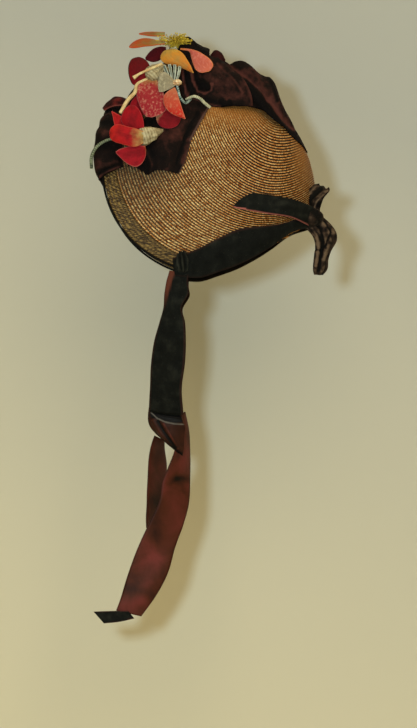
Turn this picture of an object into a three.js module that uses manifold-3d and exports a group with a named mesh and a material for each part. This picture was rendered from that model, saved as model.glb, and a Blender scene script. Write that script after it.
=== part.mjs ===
// A small bonnet of fine sewn straw plait, trimmed with velvet drapery, a velvet nape band with a bow,
// cloth flowers and satin-backed velvet chin ties that are knotted below the chin.
// Millimetres, +Z up, the face looks along -Y and the wearer's left is +X.
// The origin is the highest point of the hollow crown, where it sits on the head.
import * as THREE from "three";
import { mergeVertices } from "three/addons/utils/BufferGeometryUtils.js";
import Module from "manifold-3d";

const wasm = await Module();
wasm.setup();

const STRAW = 1.3;
const CLOTH = 1.1;
const PETAL = 1.0;
const GAP = 0.3;
const RING_START = 0.005;
const RIM_T = 0.948;
const T_PER_MM = 1 / 190;
const STRAW_MESH = { rows: 12, cols: 40 };
const BINDING = { reach: 1.3, radius: 0.9, sides: 6, steps: 28, ear: 0.5 };

// Side outlines are given as they look from VIEW.distance away on the wearer's left.
const VIEW = { distance: 3000, height: -230 };

/** Turns rows of numbers into objects with the named columns. */
function table(columns, rows) {
  const names = columns.split(" ");
  return rows.map((row) => Object.fromEntries(names.map((name, i) => [name, row[i]])));
}

/** The true place of a point that looks to be at y, z and lies x nearer to the viewer. */
function seen(y, z, x) {
  const shrink = 1 - x / VIEW.distance;
  return new THREE.Vector3(x, y * shrink, VIEW.height + (z - VIEW.height) * shrink);
}

/** A cubic Hermite curve through rows at their own t, flat where the rows turn back. */
function monotone(ts, values) {
  const steps = ts.slice(1).map((t, i) => t - ts[i]);
  const slopes = steps.map((h, i) => (values[i + 1] - values[i]) / h);
  const tangents = ts.map((_, i) => {
    if (i === 0) return slopes[0];
    if (i === ts.length - 1) return slopes[i - 1];
    if (slopes[i - 1] * slopes[i] <= 0) return 0;
    const w1 = 2 * steps[i] + steps[i - 1];
    const w2 = steps[i] + 2 * steps[i - 1];
    return (w1 + w2) / (w1 / slopes[i - 1] + w2 / slopes[i]);
  });
  return (t) => {
    let i = 0;
    while (i < ts.length - 2 && t > ts[i + 1]) i += 1;
    const h = steps[i];
    const s = (t - ts[i]) / h;
    const a = values[i] * (1 + 2 * s) * (1 - s) ** 2 + h * tangents[i] * s * (1 - s) ** 2;
    const b = values[i + 1] * s * s * (3 - 2 * s) + h * tangents[i + 1] * s * s * (s - 1);
    return a + b;
  };
}

// The straw's inner face as rings of plait, from the spiral's start (t 0) to the front rim (t 1). Each
// ring passes the front F, the widest side point S, where it runs down at "slope" degrees, and the back
// B. "fore" and "aft" are the lengths of its handles at S, and "kf" and "kb" say how square it is at the
// front and the back.
const RINGS = table("t fy fz sx sy sz slope fore aft by bz kf kb", [
  [0.00,  50, -12.5,  1,  53,  -14.6, 30,   1,  1, 56,    -16, 0.56, 0.56],
  [0.10,  36,  -4.5, 19,  52,  -23,   36,  10,  9, 69,    -26, 0.60, 0.60],
  [0.25,  20,  -0.5, 39,  46,  -40,   33,  22, 21, 79,    -41, 0.64, 0.62],
  [0.45,   0,   2.0, 58,  37,  -66,   28,  37, 35, 87,    -60, 0.70, 0.62],
  [0.62, -24,   2.5, 68,  27,  -90,   26,  54, 44, 90.5,  -81, 0.76, 0.62],
  [0.80, -52,  -2.5, 72,   6, -117,   24,  76, 48, 88.5, -107, 0.84, 0.62],
  [1.00, -82, -15.0, 69, -25, -147,   19,  98, 60, 74,   -134, 0.90, 0.62],
]);
const RING_OF = Object.fromEntries(Object.keys(RINGS[0]).map((name) => {
  return [name, monotone(RINGS.map((row) => row.t), RINGS.map((row) => row[name]))];
}));

/** A point of ring t at share a of half its way round: 0 is the front, 0.5 the side, 1 the back. */
function ringPoint(t, a) {
  const row = Object.fromEntries(Object.entries(RING_OF).map(([name, at]) => [name, at(t)]));
  const angle = THREE.MathUtils.degToRad(row.slope);
  const side = seen(row.sy, row.sz, row.sx);
  const along = new THREE.Vector3(0, Math.cos(angle), -Math.sin(angle));
  if (a <= 0.5) {
    const front = new THREE.Vector3(0, row.fy, row.fz);
    const lead = new THREE.Vector3(row.sx * row.kf, row.fy, row.fz);
    const into = side.clone().addScaledVector(along, -row.fore);
    return new THREE.CubicBezierCurve3(front, lead, into, side).getPoint(a * 2);
  }
  const back = new THREE.Vector3(0, row.by, row.bz);
  const leave = new THREE.Vector3(row.sx * row.kb, row.by, row.bz);
  const out = side.clone().addScaledVector(along, row.aft);
  return new THREE.CubicBezierCurve3(side, out, leave, back).getPoint(a * 2 - 1);
}

/** The same for both sides: v runs from -1 (back) by 0 (front) to 1 (back), positive on the left. */
function strawPoint(t, v) {
  const turn = Math.abs(v) > 1 ? v - 2 * Math.sign(v) : v;
  const point = ringPoint(t, Math.abs(turn));
  if (turn < 0) point.x = -point.x;
  return point;
}

/** The outward direction there, from the points on either side. */
function strawNormal(t, v) {
  const step = 0.01;
  const [low, high] = [Math.max(t - step, 0), Math.min(t + step, 1)];
  const outwards = strawPoint(high, v).sub(strawPoint(low, v));
  const round = strawPoint(t, v + step).sub(strawPoint(t, v - step));
  return outwards.cross(round).normalize();
}

/** A point "reach" mm past the rim (before it if negative), "off" mm outside the rings. */
function rimPoint(v, reach, off) {
  const rim = strawPoint(1, v);
  const outwards = rim.clone().sub(strawPoint(0.96, v)).normalize();
  return rim.addScaledVector(outwards, reach).addScaledVector(strawNormal(1, v), off);
}

/** The normals of a grid of points, from its neighbours. */
function gridNormals(grid) {
  const rows = grid.length;
  const cols = grid[0].length;
  return grid.map((row, i) => row.map((_, j) => {
    const up = grid[Math.min(i + 1, rows - 1)][j].clone();
    const right = row[Math.min(j + 1, cols - 1)].clone();
    up.sub(grid[Math.max(i - 1, 0)][j]);
    right.sub(row[Math.max(j - 1, 0)]);
    return up.cross(right).normalize();
  }));
}

/** Carries the outer rows and columns of an open grid further out by "grow". */
function growGrid(grid, grow) {
  const next = grid.map((row) => row.map((point) => point.clone()));
  const push = (line, inner) => line.forEach((point, k) => {
    const way = point.clone().sub(inner[k]);
    if (way.lengthSq() > 1e-9) point.add(way.normalize().multiplyScalar(grow));
  });
  const column = (j) => next.map((row) => row[j]);
  push(next[0], next[1]);
  push(next[next.length - 1], next[next.length - 2]);
  push(column(0), column(1));
  push(column(next[0].length - 1), column(next[0].length - 2));
  return next;
}

/** A manifold solid of indexed triangles. */
function solidOf(points, triangles) {
  const vertProperties = new Float32Array(points.flatMap((p) => [p.x, p.y, p.z]));
  const mesh = new wasm.Mesh({ numProp: 3, vertProperties, triVerts: new Uint32Array(triangles.flat()) });
  mesh.merge();
  const solid = new wasm.Manifold(mesh);
  if (solid.volume() >= 0) return solid;
  const turned = triangles.map(([a, b, c]) => [a, c, b]);
  const other = new wasm.Mesh({ numProp: 3, vertProperties, triVerts: new Uint32Array(turned.flat()) });
  other.merge();
  return new wasm.Manifold(other);
}

/** The same from a closed three.js geometry. */
function solidOfGeometry(geometry) {
  geometry.deleteAttribute("normal");
  geometry.deleteAttribute("uv");
  const { attributes, index } = mergeVertices(geometry, 1e-4);
  const points = Array.from({ length: attributes.position.count }, (_, i) => {
    return new THREE.Vector3().fromBufferAttribute(attributes.position, i);
  });
  const corners = Array.from(index.array);
  const triangles = Array.from({ length: corners.length / 3 }, (_, i) => corners.slice(3 * i, 3 * i + 3));
  return solidOf(points, triangles.filter(([a, b, c]) => a !== b && b !== c && c !== a));
}

/** A cloth wall: the grid is its middle, and both faces lie half the thickness off. */
function wall(grid, thickness) {
  const normals = gridNormals(grid);
  const rows = grid.length;
  const cols = grid[0].length;
  const points = [];
  for (const side of [0.5, -0.5]) {
    grid.forEach((row, i) => row.forEach((point, j) => {
      points.push(point.clone().addScaledVector(normals[i][j], side * thickness));
    }));
  }
  const at = (side, i, j) => side * rows * cols + i * cols + j;
  const triangles = [];
  const quad = (a, b, c, d) => triangles.push([a, b, c], [a, c, d]);
  for (let i = 0; i < rows - 1; i += 1) {
    for (let j = 0; j < cols - 1; j += 1) {
      quad(at(0, i, j), at(0, i + 1, j), at(0, i + 1, j + 1), at(0, i, j + 1));
      quad(at(1, i, j), at(1, i, j + 1), at(1, i + 1, j + 1), at(1, i + 1, j));
    }
  }
  for (let i = 0; i < rows - 1; i += 1) {
    quad(at(0, i, 0), at(1, i, 0), at(1, i + 1, 0), at(0, i + 1, 0));
    quad(at(0, i, cols - 1), at(0, i + 1, cols - 1), at(1, i + 1, cols - 1), at(1, i, cols - 1));
  }
  for (let j = 0; j < cols - 1; j += 1) {
    quad(at(0, 0, j), at(0, 0, j + 1), at(1, 0, j + 1), at(1, 0, j));
    quad(at(0, rows - 1, j), at(1, rows - 1, j), at(1, rows - 1, j + 1), at(0, rows - 1, j + 1));
  }
  return solidOf(points, triangles);
}

/** A solid between rings of points, closed with a fan at both ends or, as a torus, on itself. */
function lofted(rings, torus = false) {
  const cols = rings[0].length;
  const points = rings.flat();
  const triangles = [];
  for (let i = 0; i < rings.length - (torus ? 0 : 1); i += 1) {
    const next = (i + 1) % rings.length;
    for (let j = 0; j < cols; j += 1) {
      const k = (j + 1) % cols;
      const [a, b, c, d] = [i * cols + j, i * cols + k, next * cols + k, next * cols + j];
      triangles.push([a, b, c], [a, c, d]);
    }
  }
  for (const [ring, turn] of torus ? [] : [[0, true], [rings.length - 1, false]]) {
    const centre = rings[ring].reduce((sum, p) => sum.add(p), new THREE.Vector3()).divideScalar(cols);
    points.push(centre);
    for (let j = 0; j < cols; j += 1) {
      const edge = [ring * cols + j, ring * cols + ((j + 1) % cols)];
      if (turn) edge.reverse();
      triangles.push([edge[0], edge[1], points.length - 1]);
    }
  }
  return solidOf(points, triangles);
}

/** A round rod of changing radius along a smooth path of rows with x, y, z and radius r. */
function rod(rows, steps, sides) {
  const curve = new THREE.CatmullRomCurve3(rows.map((row) => seen(row.y, row.z, row.x)));
  const radius = monotone(rows.map((_, i) => i / (rows.length - 1)), rows.map((row) => row.r));
  return (grow) => {
    const frames = curve.computeFrenetFrames(steps, false);
    const rings = Array.from({ length: steps + 1 }, (_, i) => {
      const centre = curve.getPointAt(i / steps);
      if (i === 0) centre.addScaledVector(frames.tangents[i], -grow);
      if (i === steps) centre.addScaledVector(frames.tangents[i], grow);
      return Array.from({ length: sides }, (__, j) => {
        const angle = (2 * Math.PI * j) / sides;
        const r = radius(i / steps) + grow;
        return centre.clone().addScaledVector(frames.normals[i], r * Math.cos(angle))
          .addScaledVector(frames.binormals[i], r * Math.sin(angle));
      });
    });
    return lofted(rings);
  };
}

/** A rounded lump with half-sizes hx, hy, hz about a seen centre, or its twin on the right. */
function lump({ x, y, z, hx, hy, hz }, segments, side = 1) {
  return (grow) => {
    const geometry = new THREE.SphereGeometry(1, segments, Math.ceil(segments / 2) + 1);
    geometry.scale(hx + grow, hy + grow, hz + grow);
    const centre = seen(y, z, x);
    geometry.translate(side * centre.x, centre.y, centre.z);
    return solidOfGeometry(geometry);
  };
}

/** A cloth strip of rows with edge points a and b, bulged by "puff" between them. */
function strip(rows, nu, nv) {
  const curveOf = (edge) => new THREE.CatmullRomCurve3(rows.map((row) => row[edge]), false, "centripetal");
  const [edgeA, edgeB] = [curveOf("a"), curveOf("b")];
  const share = rows.map((_, i) => i / (rows.length - 1));
  const puff = monotone(share, rows.map((row) => row.puff));
  const grid = Array.from({ length: nu + 1 }, (_, i) => {
    const u = i / nu;
    const [a, b] = [edgeA.getPoint(u), edgeB.getPoint(u)];
    const along = edgeA.getTangent(u).add(edgeB.getTangent(u));
    const normal = along.cross(b.clone().sub(a)).normalize();
    return Array.from({ length: nv + 1 }, (__, j) => {
      const v = j / nv;
      return a.clone().lerp(b, v).addScaledVector(normal, puff(u) * (1 - (2 * v - 1) ** 2));
    });
  });
  return (grow) => wall(grow > 0 ? growGrid(grid, grow) : grid, CLOTH + 2 * grow);
}

/** Strip rows from seen outlines with their own depths. */
function free(rows) {
  return rows.map((row) => ({
    ...row,
    a: seen(row.ay, row.az, row.ax),
    b: seen(row.by, row.bz, row.bx),
  }));
}

const CAST = { rows: 24, cols: 64 };
const CAST_GRID = Array.from({ length: CAST.rows + 1 }, (_, i) => {
  return Array.from({ length: CAST.cols + 1 }, (__, j) => {
    return strawPoint(0.01 + (0.99 * i) / CAST.rows, -1 + (2 * j) / CAST.cols);
  });
});

/** Where a ray leaves the straw: the hit furthest from its start, or null. */
function castStraw(start, way) {
  const ray = new THREE.Ray(start, way.clone().normalize());
  let best = null;
  for (let i = 0; i < CAST.rows; i += 1) {
    for (let j = 0; j < CAST.cols; j += 1) {
      const [p, q] = [CAST_GRID[i][j], CAST_GRID[i + 1][j]];
      const [r, s] = [CAST_GRID[i + 1][j + 1], CAST_GRID[i][j + 1]];
      for (const corners of [[p, q, r], [p, r, s]]) {
        const hit = ray.intersectTriangle(...corners, false, new THREE.Vector3());
        if (hit && (!best || hit.distanceTo(start) > best.distanceTo(start))) best = hit;
      }
    }
  }
  return best;
}

const AXIS_Y = 15;

/** A point off the straw's outside, round the upright axis: 0 degrees is the back, 90 the left. */
function around(degrees, z, off) {
  const angle = THREE.MathUtils.degToRad(degrees);
  const way = new THREE.Vector3(Math.sin(angle), Math.cos(angle), 0);
  let level = z;
  let hit = null;
  while (!hit) {
    hit = castStraw(new THREE.Vector3(0, AXIS_Y, level), way);
    level += 1;
  }
  return hit.setZ(z).addScaledVector(way, off);
}

/** The point off the straw's left side that is seen at y, z. */
function onSide(y, z, off) {
  const eye = new THREE.Vector3(VIEW.distance, 0, VIEW.height);
  const target = new THREE.Vector3(0, y, z);
  const way = target.clone().sub(eye).normalize();
  const hit = castStraw(target.clone().addScaledVector(way, -1), way.clone().negate());
  return hit ? hit.addScaledVector(way, -off) : null;
}

/** Strip rows lying on the left side of the straw, "offA" and "offB" proud of it. */
function sideRows(rows) {
  return rows.map((row) => ({
    ...row,
    a: onSide(row.ay, row.az, row.offA),
    b: onSide(row.by, row.bz, row.offB),
  }));
}

/** The same rows on the other side of the middle plane. */
function mirrored(rows) {
  const flip = (p) => new THREE.Vector3(-p.x, p.y, p.z);
  return rows.map((row) => ({ ...row, a: flip(row.b), b: flip(row.a) }));
}

// The straw body

/** Rings of points from level t0 to t1, "off" mm outside the straw's inner face. */
function strawRings(t0, t1, count, off) {
  const turns = Array.from({ length: STRAW_MESH.cols }, (_, j) => -1 + (2 * j) / STRAW_MESH.cols);
  return Array.from({ length: count + 1 }, (_, i) => {
    const t = t0 + ((t1 - t0) * i) / count;
    return turns.map((v) => strawPoint(t, v).addScaledVector(strawNormal(t, v), off));
  });
}

// The lower edge of the straw, and everything below it.
const CUT = table("y z", [
  [-60, -160], [-26, -147], [10, -143], [43, -132], [66, -121], [84, -110], [120, -100],
]);
const CUT_BOX = { reach: 120, floor: -220 };

/** Everything below the lower edge, to take off the straw. */
function belowCut(raise) {
  const front = CUT[0].y;
  const back = CUT[CUT.length - 1].y;
  const outline = new THREE.Shape([
    new THREE.Vector2(front, CUT_BOX.floor),
    new THREE.Vector2(back, CUT_BOX.floor),
    ...CUT.map((row) => new THREE.Vector2(row.y, row.z + raise)).reverse(),
  ]);
  const geometry = new THREE.ExtrudeGeometry(outline, { depth: 2 * CUT_BOX.reach, bevelEnabled: false });
  const turn = new THREE.Matrix4().makeBasis(
    new THREE.Vector3(0, 1, 0), new THREE.Vector3(0, 0, 1), new THREE.Vector3(1, 0, 0),
  );
  geometry.translate(0, 0, -CUT_BOX.reach).applyMatrix4(turn);
  return solidOfGeometry(geometry);
}

/** The crown and brim as one wall, its lower edge cut. */
function strawShell(grow) {
  const end = RIM_T + grow * T_PER_MM;
  const outer = strawRings(RING_START, end, STRAW_MESH.rows, STRAW + grow);
  const inner = strawRings(RING_START, end, STRAW_MESH.rows, -grow);
  return lofted([...outer, ...inner.reverse()]).subtract(belowCut(-grow));
}

/** All that lies inside the straw's inner face, less the clearance that its wall covers. */
function strawFill(grow) {
  return lofted(strawRings(RING_START, 1, STRAW_MESH.rows, -grow)).subtract(belowCut(-grow));
}

/** The coarser braid between the shell's front edge and the rim. */
function frontBraid(grow) {
  const start = RIM_T + (GAP - grow) * T_PER_MM;
  const end = 1 + grow * T_PER_MM;
  const outer = strawRings(start, end, 2, STRAW + grow);
  const inner = strawRings(start, end, 2, -grow);
  return lofted([...outer, ...inner.reverse()], true).subtract(belowCut(-grow));
}

// Velvet that lies on the straw

/** A band round the nape from ear to ear, wider at the sides. */
const NAPE = table("degrees top bottom", [
  [122, -142, -156], [108, -134, -158], [95, -125, -153], [82, -117.5, -147.5], [70, -115, -140.5],
  [56, -113, -130], [42, -109, -119], [25, -106, -115], [0, -106, -114],
]);
const NAPE_OFF = 2.2;

function napeRows() {
  const left = NAPE.map((row) => ({
    a: around(row.degrees, row.top, NAPE_OFF),
    b: around(row.degrees, row.bottom, NAPE_OFF),
    puff: -2,
  }));
  const right = left.slice(0, -1).reverse().map((row) => ({
    a: new THREE.Vector3(-row.a.x, row.a.y, row.a.z),
    b: new THREE.Vector3(-row.b.x, row.b.y, row.b.z),
    puff: row.puff,
  }));
  return [...left, ...right];
}

// The bow's tail that runs forward over the band, from the knot to its tip.
const BOW_TAIL = table("degrees top bottom off", [
  [18, -98, -114, 5], [33, -95, -111, 5], [48, -91, -106.5, 4.4], [63, -88.3, -104.3, 3.2],
  [72, -87.6, -102.5, 2.6], [79.6, -92, -100.6, 2.4], [85.2, -98, -99.4, 2.0],
]);

function bowTailRows() {
  return BOW_TAIL.map((row) => ({
    a: around(row.degrees, row.top, row.off),
    b: around(row.degrees, row.bottom, row.off),
    puff: 1.4,
  }));
}

// The drape wrapped over the front rim: its profile across the rim, scaled by each row's fullness.
const RIM_PROFILE = table("reach off", [
  [-19, 3.0], [-14, 8.5], [-6, 12], [2, 11.5], [7, 6.5], [6.5, -1], [1.5, -4.2], [-5, -4.4],
]);
const RIM_DRAPE = table("v full", [
  [0.262, 0.55], [0.24, 0.85], [0.18, 1.0], [0.1, 0.7], [0, 0.35], [-0.1, 0.7], [-0.18, 1.0],
  [-0.24, 0.85], [-0.262, 0.55],
]);
const RIM_DRAPE_MESH = { along: 14, across: 8 };

function frontDrape(grow) {
  const { along, across } = RIM_DRAPE_MESH;
  const share = RIM_DRAPE.map((_, i) => i / (RIM_DRAPE.length - 1));
  const vOf = monotone(share, RIM_DRAPE.map((row) => row.v));
  const fullOf = monotone(share, RIM_DRAPE.map((row) => row.full));
  const profile = new THREE.CatmullRomCurve3(RIM_PROFILE.map((row) => {
    return new THREE.Vector3(row.reach, row.off, 0);
  }));
  const grid = Array.from({ length: along + 1 }, (_, i) => {
    const [v, full] = [vOf(i / along), fullOf(i / along)];
    return Array.from({ length: across + 1 }, (__, j) => {
      const { x: reach, y: off } = profile.getPoint(j / across);
      return rimPoint(v, reach < 0 ? reach : reach * full, off > 0 ? off * full : off);
    });
  });
  return wall(grow > 0 ? growGrid(grid, grow) : grid, CLOTH + 2 * grow);
}

// The large loop on the left of the brim; a is its front edge, b its back edge.
const FRONT_LOOP = table("ay az offA by bz offB puff", [
  [-24, 0, 4, 3, -7, 3, 1],
  [-37, -7, 3.5, -2.6, -16.3, 2, 3],
  [-52, -17, 3, -13.9, -37.8, 1.6, 6],
  [-65, -34, 3, -17.8, -47.8, 1.6, 8],
  [-70.5, -48, 2.5, -20.1, -56.8, 1.6, 7],
  [-68.8, -60, 1.6, -24.9, -67.1, 1.6, 3],
]);

// Velvet puffs across the crown. Each row is an arch at y, from foot height over the top to foot height,
// "half" to each side; "lean" moves its feet back, and "square" fills out its shoulders.
const LEAN_POWER = 2.2;
const ARCH_COLUMNS = "y top half foot lean square";
const CROWN_DRAPE = table(ARCH_COLUMNS, [
  [-71, -6, 22, -18, -3, 2.0], [-62, 8, 28, -16, 0, 2.2], [-48, 20, 32, -16, 0, 2.4],
  [-28, 31, 33, -16, 0, 2.4],
  [-6, 34, 33, -14, 4, 2.3], [8, 32, 32, -11, 14, 2.2], [15, 27, 30, -11, 23, 2.1],
]);
const BACK_PUFF = table(ARCH_COLUMNS, [
  [11, 21, 24, -10, 20, 2.0], [19, 26.2, 25, -12, 20, 2.0], [29, 28.8, 25, -14, 17, 2.0],
  [37, 25, 25, -18, 14, 1.9], [46, 16.5, 24, -23, 10, 1.9], [56, 11, 21, -29, 8, 1.9],
  [61, -3, 17, -35, 6, 2.0], [69.5, -19, 13, -43, 4, 2.0], [76.5, -33, 9, -49, 3, 2.0],
  [80, -43, 5, -51, 1, 2.0],
]);
const TOP_RIDGE = table(ARCH_COLUMNS, [
  [-33, 41, 13, 24, 0, 2.0], [-25, 50, 15, 24, 0, 1.8], [-17, 50.5, 15, 26, 0, 1.7],
  [-8, 44.5, 14, 28, 0, 1.8], [1, 39, 12, 26, 0, 2.0],
]);
const SMALL_PUFF = table(ARCH_COLUMNS, [
  [2.5, 36, 7, 25, 0, 2.0], [6, 39, 9, 25, 0, 2.2], [11, 36.5, 9, 22, 0, 2.2], [14.5, 31, 7, 20, 0, 2.0],
]);

/** A row of arches as one cloth wall, with "folds" shallow waves round it. */
function arches(rows, nu, nv, { folds = 0, depth = 0 } = {}) {
  const share = rows.map((_, i) => i / (rows.length - 1));
  const of = (name) => monotone(share, rows.map((row) => row[name]));
  const [y, top, half, foot, lean, square] = ARCH_COLUMNS.split(" ").map(of);
  const grid = Array.from({ length: nu + 1 }, (_, i) => {
    const u = i / nu;
    return Array.from({ length: nv + 1 }, (__, j) => {
      const angle = Math.PI * (1 - j / nv);
      const [c, s] = [Math.cos(angle), Math.sin(angle)];
      const power = 2 / square(u);
      const swell = 1 + (depth / half(u)) * Math.sin(folds * angle + 5 * u) * Math.sin(angle);
      const x = Math.sign(c) * Math.abs(c) ** power * half(u) * swell;
      const rise = Math.abs(s) ** power * swell;
      const z = foot(u) + (top(u) - foot(u)) * rise;
      return new THREE.Vector3(x, y(u) + lean(u) * (1 - rise ** LEAN_POWER), z);
    });
  });
  return (grow) => wall(grow > 0 ? growGrid(grid, grow) : grid, CLOTH + 2 * grow);
}

const STRIP_COLUMNS = "ay az ax by bz bx puff";
const SMALL_LOOP = table(STRIP_COLUMNS, [
  [-89.5, -12.5, 34, -90, -11, 22, 1], [-83, -9.5, 36, -84.5, -4.5, 20, 2],
  [-77, -8.5, 38, -78, -1, 20, 2], [-67, -8, 42, -68, -4, 22, 1],
]);

// The bow at the nape, to the left of the middle.
const BOW_KNOT = { x: 29, y: 87, z: -104.5, hx: 11, hy: 11, hz: 8.5 };
const BOW_UPPER_LOOP = table(STRIP_COLUMNS, [
  [83, -98, 30, 96, -100, 21, 0], [83, -89, 35, 97, -91.5, 28, 2], [86.5, -82, 34, 100, -87, 29, 2.5],
  [90, -77, 29, 104, -82, 25, 2], [95, -75.6, 20, 104.2, -79.5, 18, 1], [91, -78, 11, 103, -82.5, 10, 1],
  [86, -85, 6, 99, -89, 5, 1], [84, -95, 8, 96, -98, 7, 0],
]);
const BOW_LOWER_LOOP = table(STRIP_COLUMNS, [
  [82, -110.5, 29, 95.5, -101.5, 22, 0], [86, -115.5, 30, 104, -109.5, 22, 2],
  [90.5, -121.5, 30, 109.5, -117.5, 22, 3], [92.3, -127, 30, 110, -124, 21, 3],
  [91.6, -135, 29, 105.3, -133, 20, 2.5], [90.8, -143, 28, 102.8, -141, 20, 2],
  [90.2, -149.5, 27, 102.2, -148.5, 20, 1.5], [91, -153.4, 25, 98.5, -153.8, 19, 0.5],
]);

// The velvet chin ties

const SIDE_KNOT = { x: 73, y: -22, z: -143, hx: 5.5, hy: 6, hz: 9 };
const TIE = table(STRIP_COLUMNS, [
  [-33, -150, 70, -17, -153.5, 71, 0], [-35.5, -159, 69, -17.5, -161, 70, 1],
  [-37, -168, 67, -16.5, -169.5, 69, 2], [-38, -180, 64, -23, -181.5, 66, 3],
  [-41.3, -194.4, 59, -20.6, -193, 63, 2], [-46.4, -211.6, 51, -19.8, -214, 56, 1],
  [-49, -231, 41, -20.6, -231, 47, 1], [-49.9, -251, 30, -23.2, -253, 36, 1],
  [-50.7, -270, 18, -21.5, -274, 23, 1],
]);
const CHIN_LOOP = table(STRIP_COLUMNS, [
  [-51, -268, 18.5, -22, -272, 23.2, 0], [-51, -271, 12, -22, -277, 14, 1],
  [-48, -273, 4, -23, -278, 4, 2], [-48, -273, -4, -23, -278, -4, 2],
  [-51, -271, -12, -22, -277, -14, 1], [-51, -268, -18.5, -22, -272, -23.2, 0],
]);
const CHIN_WRAP = table(STRIP_COLUMNS, [
  [-51.5, -271.5, 16, -23, -276.5, 20, 1], [-51, -281, 13, -20, -285, 15, 5],
  [-46.5, -289, 12, -20.5, -291.5, 13, 5], [-38, -297, 10, -21, -301.5, 10, 3],
  [-27, -306.5, 7, -21.8, -309.5, 7, 0],
]);
const TAIL_BACK = table(STRIP_COLUMNS, [
  [-46, -292, 0, -38, -296, -16, 0], [-50, -304.4, 1, -37, -309, -22, 1],
  [-51.6, -321.6, 1, -36, -326, -25, 1], [-52.5, -339, 1, -35.5, -341, -26, 1],
  [-53, -356, 1, -36.5, -357, -26, 1], [-53.3, -371.5, 1, -42, -373, -27, 0],
]);
const TAIL_FRONT = table(STRIP_COLUMNS, [
  [-25.5, -274.5, 5, -20, -271.5, -6, 0], [-28, -290, 6, -16.5, -288, -13, 1],
  [-28.5, -305, 8, -15.8, -303, -15, 1], [-34, -320, 9, -15.3, -319, -14, 2],
  [-39, -332, 9, -15.6, -331, -12, 2], [-41.5, -347.4, 9, -17, -350, -8, 1],
  [-50, -366, 9, -21.5, -368.5, -4, 1], [-61, -390, 9, -28.4, -388, 0, 1],
  [-69.7, -414, 9, -34.4, -409.5, 3, 1], [-75, -431.5, 9, -44, -428.5, 4, 1],
  [-79, -442.5, 9, -57.5, -447.5, 5, 0],
]);
const TAIL_FRONT_END = table(STRIP_COLUMNS, [
  [-98.5, -443.5, 12, -89.5, -453.6, 12, 0], [-88, -443.2, 12, -79, -452.5, 12, 1],
  [-78, -442.8, 10.4, -70, -451, 9.4, 0], [-68.5, -442.9, 8.3, -63.5, -449.4, 7.2, 0],
]);

// Flowers. A petal runs from its base to its tip; "wide" is its greatest width at share "at" of its
// length, "cup" lifts its edges, "curl" bows it, "point" is 0.5 for a round tip and 1 for a pointed
// one, and "turn" rolls it about its length from facing the left.
const PETALS = table("name by bz bx ty tz tx wide at cup curl point turn", [
  ["petal_c1", -32, 42, 31, -12, 20, 42, 13, 0.38, 2.5, 3, 0.9, 0],
  ["petal_c2", -26, 42, 31, 4, 23, 38, 14, 0.66, 2, 1.5, 0.5, 0],
  ["petal_c3", -32, 49, 24, -59.5, 53.5, 14, 13, 0.55, 1.5, 2, 0.6, 84],
  ["petal_c4", -36, 46, 36, -67.5, 42.5, 46, 13, 0.55, 1.5, 3, 0.6, 80],
  ["petal_c5", -31, 41, 28, -53, 32.5, 22, 11, 0.5, 1.5, 1, 0.5, -10],
  ["petal_b1", -51, 15, 58, -62, 34, 52, 14, 0.5, 2.5, 1.5, 0.5, -8],
  ["petal_b2", -50, 13, 58, -50, -17.5, 64, 21, 0.5, 2, 2, 0.5, 0],
  ["petal_b3", -28, 12, 58, -19.5, -19.5, 68, 13, 0.55, 2, 1.5, 0.95, -12],
  ["petal_b4", -47, -12, 63, -23, -21, 63, 13, 0.55, 2, 1, 0.5, 0],
  ["petal_b5", -50, 14, 57, -59, -17, 55, 12, 0.5, 1.5, 1, 0.5, 10],
  ["petal_a1", -62, -34, 76, -69, -8, 74, 19, 0.55, 2.5, 2, 0.5, 5],
  ["petal_a2", -59, -36, 79, -85, -32.5, 80, 20, 0.55, 3, 2, 0.5, 0],
  ["petal_a3", -63, -33, 74, -83, -12.5, 70, 11, 0.4, 1.5, 1, 0.9, -5],
  ["petal_a4", -57, -37, 77, -70, -59, 78, 17, 0.5, 2, 1.5, 0.5, 0],
  ["sepal_b", -29, 13, 58, -41.5, 4.5, 66, 11, 0.5, 1.5, 1, 0.6, 0],
  ["bract_b1", -30, 12, 56, -38.5, 26, 52, 4, 0.4, 0.4, 0.5, 0.9, 10],
  ["bract_b2", -29, 12, 55, -33, 27, 50, 4, 0.4, 0.4, 0.5, 0.9, 0],
  ["bract_b3", -28, 12, 55, -27.5, 27, 50, 4, 0.4, 0.4, 0.5, 0.9, 0],
  ["bract_b4", -27, 12, 56, -23, 25.5, 52, 4, 0.4, 0.4, 0.5, 0.9, -10],
]);
const PETAL_MESH = { along: 5, across: 3, neck: 0.35 };

function petal(row) {
  const base = seen(row.by, row.bz, row.bx);
  const tip = seen(row.ty, row.tz, row.tx);
  const along = tip.clone().sub(base);
  const face = new THREE.Vector3(1, 0, 0).addScaledVector(along, -along.x / along.lengthSq()).normalize();
  face.applyAxisAngle(along.clone().normalize(), THREE.MathUtils.degToRad(row.turn));
  const across = face.clone().cross(along).normalize();
  const { along: nu, across: nv, neck } = PETAL_MESH;
  const halfWidth = (s) => {
    if (s < row.at) return neck + (1 - neck) * Math.sin((Math.PI / 2) * (s / row.at));
    return Math.max(1 - ((s - row.at) / (1 - row.at)) ** 2, 0.02) ** row.point;
  };
  const grid = Array.from({ length: nu + 1 }, (_, i) => {
    const s = i / nu;
    return Array.from({ length: nv + 1 }, (__, j) => {
      const side = (2 * j) / nv - 1;
      const lift = row.cup * side * side * Math.sin(Math.PI * s) + row.curl * Math.sin(Math.PI * s);
      return base.clone().addScaledVector(along, s)
        .addScaledVector(across, (side * halfWidth(s) * row.wide) / 2)
        .addScaledVector(face, lift);
    });
  });
  return (grow) => wall(grow > 0 ? growGrid(grid, grow) : grid, PETAL + 2 * grow);
}

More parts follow.
